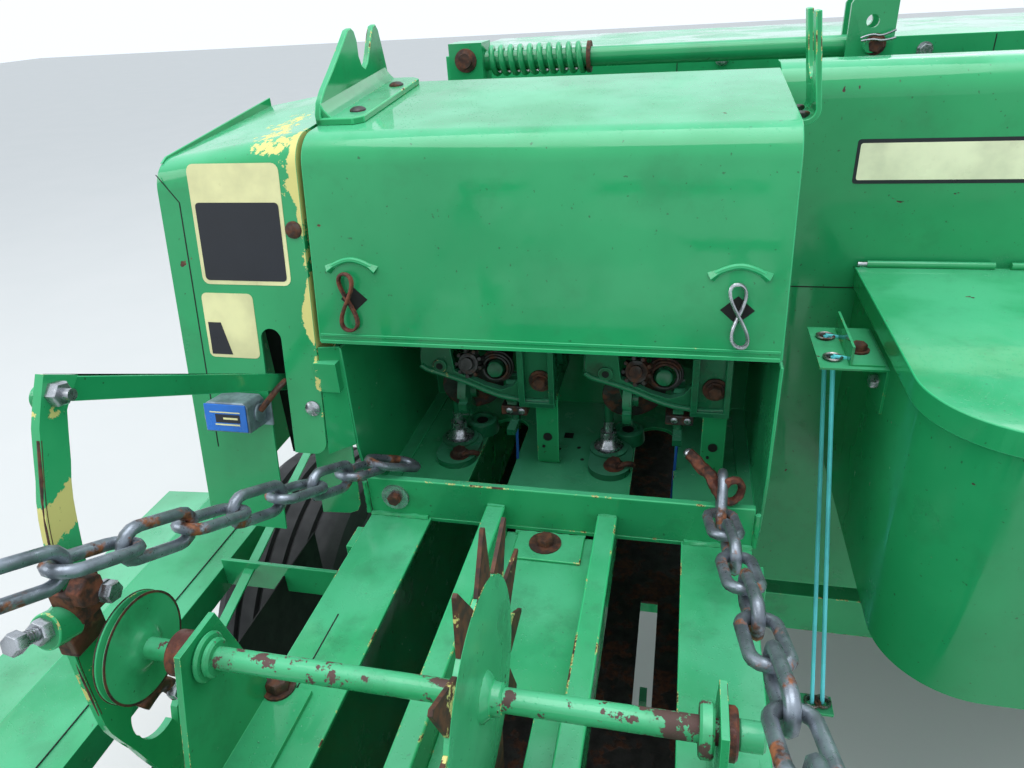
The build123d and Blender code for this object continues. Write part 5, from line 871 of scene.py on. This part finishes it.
outline = [(-428, -20), (-366, -20), (-366, 14), (-372, 20), (-422, 20), (-428, 14)]
plate(case, [on_counter(x, up, 4) for x, up in outline], OUT * 40 * MM)
counter_panel(case, (-420, -24), (-358, 10), 0, 4)
rod(case, on_counter(-431, -2, 28), on_counter(-427, -2, 28), 13, 24)
rod(case, on_counter(-367, 0, 20), on_counter(-363, 0, 20), 12, 24)
finish_piece(case, "counter_case", "chassis", counter_grey, ("counter",), soft=2.0)
blue = group("counter_face", counter_blue, "blue_case", soft=1.0)
counter_panel(blue, (-426, -18), (-368, 18), 43.5, 2)
counter_panel(ink, (-411, -6), (-377, 5), 45.5, 0.3)
for low, high, left, right in ((7, 8.5, -418, -376), (-9.5, -7.5, -412, -378), (-1.5, 1, -400, -380)):
    counter_panel(cream, (left, low), (right, high), 45.9, 0.2)
lever = ((-362, 4, 22), (-352, 16, 18), (-343, 30, 6), (-338, 36, -6))
bent_rod(rusty, [on_counter(*p) for p in lever], 4)

# Trip arm: nut, rusty rear edge, clamp, adjusting bolt and hook
nut_end(zinc, deck(-341, -324, 358), X, 19, 9, 8)
rear_edge = []
for z in (330, 300, 270, 240, 210, 150, 110, 70):
    rear_edge.append(deck(-343, between_points(NEW_ARM, z) - 22 * between_points(ARM_WIDTH, z), z))
bent_rod(rusty, rear_edge, 2.2)
clamp = group("rusty_clamps", red_rust, "cast", soft=2.0)
ripple(block(clamp, (-354, -392, 170), (-330, -360, 204)), 2.4, 40)
ripple(block(clamp, (-351, -404, 146), (-333, -368, 176)), 2.4, 40)
ripple(rod(clamp, deck(-336, -379, 200), deck(-320, -379, 200), 15, 6), 1.2, 60)
hex_head(zinc, deck(-322, -367, 189), X, 17, 9, 10)
lug = group("adjuster", worn_paint, soft=1.5)
ripple(rod(lug, deck(-346, -388, 172), deck(-346, -412, 182), 16, 28), 1.0, 60)
aim = Vector((0.0, -1.0, 0.46)).normalized()
seat = deck(-346, -411, 184)
hex_head(zinc, seat, aim, 19, 10)
rod(zinc, seat, seat + aim * 30 * MM, 5.5)
for ridge in range(4):
    rod(zinc, seat + aim * (11.5 + ridge * 3) * MM, seat + aim * (13 + ridge * 3) * MM, 6.2, 16)
hex_head(zinc, seat + aim * 25 * MM, aim, 17, 9)
arm_hook = deck_line((-338, -366, 34), (-336, -350, 42), (-336, -330, 30), (-338, -324, 4))
ripple(bent_rod(clamp, arm_hook, 8), 0.8, 90)
nut_end(zinc, deck(-332, -332, 20), X, 15, 8, 8)

# Flared sheet and tab between shield and bay, near black sheets of painted shade in the shield and under
# the side cover, and the flat strap across the side cover
flare = group("bay_flare", panel_paint, soft=0.6)
plate(flare, [face(-287, 105, -2), face(-287, 247, -2), deck(-260, 5, 247), deck(-260, 3, 105)], Y * 3 * MM)
tab_line = ((-322, 104), (-266, 104), (-270, 6), (-276, -6), (-288, -11), (-330, -14))
shield_tab = group("shield_tab", worn_paint, soft=0.8)
plate(shield_tab, [deck(x, 2, z) for x, z in tab_line], Y * 3 * MM)
shade_sheets = group("painted_shade_sheets", shade_and_seam_black)
block(shade_sheets, (-380, 40, 60), (-300, 42, 300))
block(shade_sheets, (-426, -640, -420), (-424, 112, -152))
cover_bar = group("cover_bar", panel_paint, soft=1.0)
strap_line = ((-553, 344), (-537, 344), (-454, -106), (-470, -106))
plate(cover_bar, [deck(x, y, -150) for x, y in strap_line], Z * 4 * MM)

# Top deck: bolts, washers, weld beads, a seam, and holes as dark patches of painted shade
rod(zinc, deck(-212, -4, 31), deck(-212, -8, 31), 19, 28)
hex_head(rusty, deck(-212, -8, 31), -Y, 16, 8)
hex_head(rusty, deck(-233, -301, 6), Z, 22, 11, 17)
hex_head(rusty, deck(-5, -27, -7), Z, 20, 10, 21)
hex_head(rusty, deck(221, -330, 6), Z, 19, 10, 14)
block(group("centre_plate", worn_paint, soft=1.5), (-44, -58, -10), (44, -7, -6))
beads = group("weld_beads", worn_paint)
for start, end in (
    ((-250, -7, 1), (-168, -7, 1)),
    ((168, -7, 1), (250, -7, 1)),
    ((-84, -7, 30), (-61, -7, 30)),
    ((61, -7, 30), (84, -7, 30)),
    ((-253, -6, 3), (-253, -6, 52)),
    ((253, -6, 3), (253, -6, 52)),
    ((-48, -7, -9), (44, -7, -9)),
    ((-248, -430, 2), (-248, -312, 2)),
    ((199, -430, 2), (199, -312, 2)),
):
    weld(beads, deck(*start), deck(*end))
block(gaps, (-219, -1080, -0.5), (-217.4, -190, 0.35))
block(painted_shade_holes, (-18, 216, -0.5), (-4, 231, 0.3))
for x, y in ((9, 191), (18, 160), (-20, 184), (236, 60), (-236, 60)):
    rod(painted_shade_holes, deck(x, y, -0.5), deck(x, y, 0.3), 3, 12)

# Saddle plate, hood bolts and the shield's lip
TOP_Y = 235 * LEAN
RISE = math.atan2(25, 330 - TOP_Y)
RISING = Vector((0, math.cos(RISE), math.sin(RISE)))
TOP = Vector((0, -math.sin(RISE), math.cos(RISE)))


def on_top(x, y, out=0.0):
    """A point on the hood's top sheet, or off it by some millimetres."""
    start = deck(0, TOP_Y, 490)
    return start + (X * x + RISING * (y - TOP_Y) / math.cos(RISE) + TOP * out) * MM


SADDLE = (
    (52, 0), (52, 12), (60, 24), (76, 35), (110, 52), (140, 68), (160, 79), (172, 86), (183, 87),
    (191, 82), (195, 70), (193, 52), (198, 40), (207, 35), (218, 40), (228, 50), (246, 71), (256, 79),
    (266, 80), (273, 72), (279, 45), (284, 20), (286, 0),
)
saddle = bmesh.new()
plate(saddle, [on_top(-283, u * math.cos(RISE) + TOP_Y, v) for u, v in SADDLE], X * 8 * MM)
foot = ((-283, 52), (-236, 52), (-225, 62), (-225, 270), (-236, 281), (-283, 281))
plate(saddle, [on_top(x, u * math.cos(RISE) + TOP_Y) for x, u in foot], TOP * 8 * MM)
root = [on_top(x, 56 + TOP_Y, v) for x, v in ((-276, 7), (-263, 7), (-268, 12), (-272, 17), (-276, 25))]
plate(saddle, root, RISING * 222 * MM)
finish_piece(saddle, "saddle_plate", "hood", worn_paint, ("saddle_bracket",), soft=1.6)
dull = group("dark_bolts", old_steel, "bare_steel", "hood")
for y in (128, 266):
    round_head(dull, on_top(-243, y, 8), TOP, 10, 5)
for y in (150, 196):
    hex_head(dull, deck(268, y, 482), Z, 14, 6)
lip = group("shield_lip", panel_paint, soft=0.6)
lip_line = ((48, 462), (330, 486), (330, 500), (60, 468))
plate(lip, [deck(-475, y, z) for y, z in lip_line], X * 3 * MM)

# Rear shield band, its seam and bolts; front cover seams and bolts
band = group("cream_band", painted_light_band_cream)


def on_shield(x, z, out=0.0):
    """A point on the rear shield's upright face."""
    return deck(x, 327 - out, z)


sticker(ink, (366, 366), (1300, 424), on_shield, 4)
sticker(band, (370, 371), (1296, 419), lambda x, z: on_shield(x, z, 0.4), 3)
for x, z in ((430, 210), (760, 210), (1090, 210), (1420, 210), (1420, 440)):
    hex_head(zinc, deck(x, 327, z), -Y, 17, 8, 12)
block(gaps, (300, 326.4, 217), (1530, 327.5, 218.4))
for x in (534, 200, 880, 1220):
    hex_head(zinc, deck(x, 750, 492), -Y, 19, 9, 13)
for x in (120, 640, 1160):
    block(gaps, (x, 749.6, 20), (x + 1.6, 750.6, 512))

# Feeder rod: painted spring, swivel pin, lever bolt and cotter
bm = bmesh.new()
spring(bm, 10, deck(-181, 550, 520), X * 160, 20.3, Y, Z)
finish_piece(bm, "rod_spring", "chassis", worn_paint, ("feeder_spring",), angle=60)
turned(rusty, deck(-215, 521, 524), -Y, [(-2, 0), (-2, 19), (4, 18), (6, 12), (10, 11), (10, 0)], 24)
rod(rusty, deck(-18, 550, 520), deck(-12, 550, 520), 24)
hex_head(rusty, deck(407, 522, 522), -Y, 20, 9, 15)
bent_rod(zinc, deck_line((385, 512, 532), (398, 506, 538), (412, 505, 533), (430, 510, 541)), 1.6)
bent_rod(zinc, deck_line((386, 512, 528), (400, 505, 531), (414, 504, 527), (431, 509, 531)), 1.6)

# Twine lid: hinge roll, pins and grip; guide bolts; taut twine and its lower guide
HINGE_Y, HINGE_Z = 316, 257
lid = group("lid_hinge", panel_paint, "green_paint", "twine_lid")
for left, right in ((400, 560), (580, 740), (760, 920), (940, 1030)):
    rod(lid, deck(left, HINGE_Y, HINGE_Z), deck(right, HINGE_Y, HINGE_Z), 5)
lid_pin = group("lid_pin", bright_steel, "bare_steel", "twine_lid")
rod(lid_pin, deck(388, HINGE_Y, HINGE_Z), deck(402, HINGE_Y, HINGE_Z), 3.5)
grip = deck_line((640, -118, 230), (640, -136, 236), (720, -136, 236), (720, -118, 230))
bent_rod(lid_pin, grip, 4, straight=True)
hex_head(rusty, deck(366, 140, 206), Z, 17, 8, 13)
hex_head(zinc, deck(391, 130, 170), -X, 15, 7, 9)
eyes = group("twine_eyes", polished_steel, "bare_steel")
strands = group("twine_strands", twine_blue, "blue_case")
EYE = [(-2, 8.5), (0, 10.5), (4, 12), (5, 10), (4, 8), (0, 6.5), (-3, 6.5)]
for eye_y, low in ((183, (362, 29, -300)), (121, (376, 31, -300))):
    turned(eyes, deck(334, eye_y, 202), Z, EYE, 28)
    bent_rod(strands, deck_line((334, eye_y, 206), low), 3.0, straight=True)
    bent_rod(strands, deck_line((334, eye_y, 206), (400, eye_y + 6, 196)), 2.6, straight=True)
    turned(eyes, deck(*low), Z, EYE, 28)
lower_guide = group("lower_twine_guide", worn_paint, soft=1.0)
block(lower_guide, (233, 14, -307), (390, 46, -302))
block(lower_guide, (233, 14, -330), (239, 46, -302))

# Side cover's seams
for x in (-560, -600, -690):
    block(gaps, (x, -840, -147.2), (x + 1.6, 165, -146.3))

# Tyres with ribs and side walls, wheel nuts and valves
AXLE_Y = -0.760
NUT_CIRCLE = 0.075
RIBS = 5
# Node, body, then middle across and radius in metres, then width and bead radius in millimetres
WHEELS = (
    ("tyre_left", "left_wheel", -1.140, 0.360, 260, 205),
    ("tyre_right", "right_wheel", 1.120, 0.330, 200, 190),
)
for node, body, wheel_x, tyre_r, width, bead in WHEELS:
    half = width / 2
    top = tyre_r * 1000
    middle = (bead + top) / 2
    wall = [(28, bead), (20, bead + 3), (16, bead + 14), (10, bead + 18), (1, middle - 8), (0.3, middle)]
    wall += [(2, middle + 16), (5, middle + 18), (8, top - 34), (18, top - 14), (34, top - 4)]
    profile = [(x - half, reach) for x, reach in wall]
    span = width - 68
    for rib in range(RIBS):
        left = -half + 34 + span * rib / RIBS
        right = -half + 34 + span * (rib + 1) / RIBS
        profile += [(left + 3, top - 0.4), (right - 9, top - 0.4)]
        if rib < RIBS - 1:
            profile += [(right - 6, top - 11), (right - 3, top - 11)]
    profile += [(half - x, reach) for x, reach in reversed(wall)]
    bm = bmesh.new()
    turned(bm, Vector((wheel_x, AXLE_Y, tyre_r)), X, profile, 120)
    finish_piece(bm, node + "_ribbed", body, tyre_rubber, (node,), angle=25)
    side = -1 if wheel_x < 0 else 1
    nuts = group("wheel_nuts_" + body, bright_steel, "bare_steel", body)
    for nut in range(6):
        a = math.radians(nut * 60 + 30)
        y, z = AXLE_Y + NUT_CIRCLE * math.cos(a), tyre_r + NUT_CIRCLE * math.sin(a)
        nut_end(nuts, Vector((wheel_x + side * 0.028, y, z)), X * side, 19, 10, 8)
    valve_foot = Vector((wheel_x + side * 0.03, AXLE_Y, tyre_r + 0.13))
    rod(nuts, valve_foot, Vector((wheel_x + side * 0.06, AXLE_Y, tyre_r + 0.125)), 4)

# Rear tension frame with coil springs in place of the plain sleeves
SCREW_X, SCREW_Y = 300, -930


def bare_screws(bm):
    """Thins the two spring sleeves to their screws."""
    for v in bm.verts:
        x, y, z = (v.co - deck(0, SCREW_Y, 0)) / MM
        screw_x = SCREW_X if x >= 0 else -SCREW_X
        if 93 < z < 223 and 25 < math.hypot(x - screw_x, y) < 27:
            v.co = deck(screw_x + (x - screw_x) * 0.5, SCREW_Y + y * 0.5, z)


dressed("rear_tension", worn_paint, 1.5, change=bare_screws)
coils = group("tension_springs", old_steel, "bare_steel")
for screw_x in (-SCREW_X, SCREW_X):
    spring(coils, 7, deck(screw_x, SCREW_Y, 98), Z * 120, 20.5, X, Y)

# Every group of small parts becomes its piece
for name, (bm, body, finish, slot, soft) in groups.items():
    finish_piece(bm, name, body, finish, soft=soft, angle=40)

# Camera at the photograph's viewing angle, looking forward over the bale case; angles in radians
YAW, PITCH, ROLL = 0.246, 0.491, 0.065
CAMERA_PLACE = (-0.3929, -1.9526, 1.6252)
ahead = Vector((-math.sin(YAW), math.cos(YAW), 0))
across = Vector((math.cos(YAW), math.sin(YAW), 0))
view = ahead * math.cos(PITCH) - Z * math.sin(PITCH)
above = Z * math.cos(PITCH) + ahead * math.sin(PITCH)
right = across * math.cos(ROLL) - above * math.sin(ROLL)
top = above * math.cos(ROLL) + across * math.sin(ROLL)
camera_data = bpy.data.cameras.new("camera")
camera_data.lens = 26.0
camera_data.sensor_width = 36.0
camera = bpy.data.objects.new("camera", camera_data)
scene.collection.objects.link(camera)
turn = Matrix((right, top, -view)).transposed().to_4x4()
camera.matrix_world = Matrix.Translation(CAMERA_PLACE) @ turn
scene.camera = camera

# Pale floor and soft studio light
floor_bm = bmesh.new()
bmesh.ops.create_grid(floor_bm, x_segments=1, y_segments=1, size=30)
floor_mesh = bpy.data.meshes.new("floor")
floor_bm.to_mesh(floor_mesh)
floor_bm.free()
floor = bpy.data.objects.new("floor", floor_mesh)
scene.collection.objects.link(floor)
floor_paint, tree, shader, place = start_material("pale floor")
pale = mixed(tree, cloud(tree, place, 2.0), (0.58, 0.59, 0.58, 1), (0.62, 0.62, 0.61, 1))
tree.links.new(pale, shader.inputs["Base Color"])
shader.inputs["Roughness"].default_value = 0.9
floor_mesh.materials.append(floor_paint)

world = bpy.data.worlds.new("soft sky")
world.use_nodes = True
sky = world.node_tree.nodes["Background"]
sky.inputs["Color"].default_value = (0.86, 0.93, 1.0, 1)
sky.inputs["Strength"].default_value = 1.15
scene.world = world
# Lamp, place, what it is aimed at, size and watts
LAMPS = (
    ("overhead", (-0.5, -1.5, 6.0), (-0.3, -0.6, 0.8), 5.0, 170),
    ("left", (-6.0, -3.0, 4.0), (-0.3, -0.6, 0.8), 4.0, 90),
    ("front", (3.0, 6.0, 4.5), (0.0, 0.0, 0.6), 4.0, 60),
)
for name, where, aim, size, power in LAMPS:
    lamp_data = bpy.data.lights.new(name, "AREA")
    lamp_data.shape = "DISK"
    lamp_data.size = size
    lamp_data.energy = power
    lamp = bpy.data.objects.new(name, lamp_data)
    scene.collection.objects.link(lamp)
    lamp.location = where
    lamp.rotation_euler = (Vector(aim) - Vector(where)).to_track_quat("-Z", "Y").to_euler()
scene.view_settings.view_transform = "Standard"
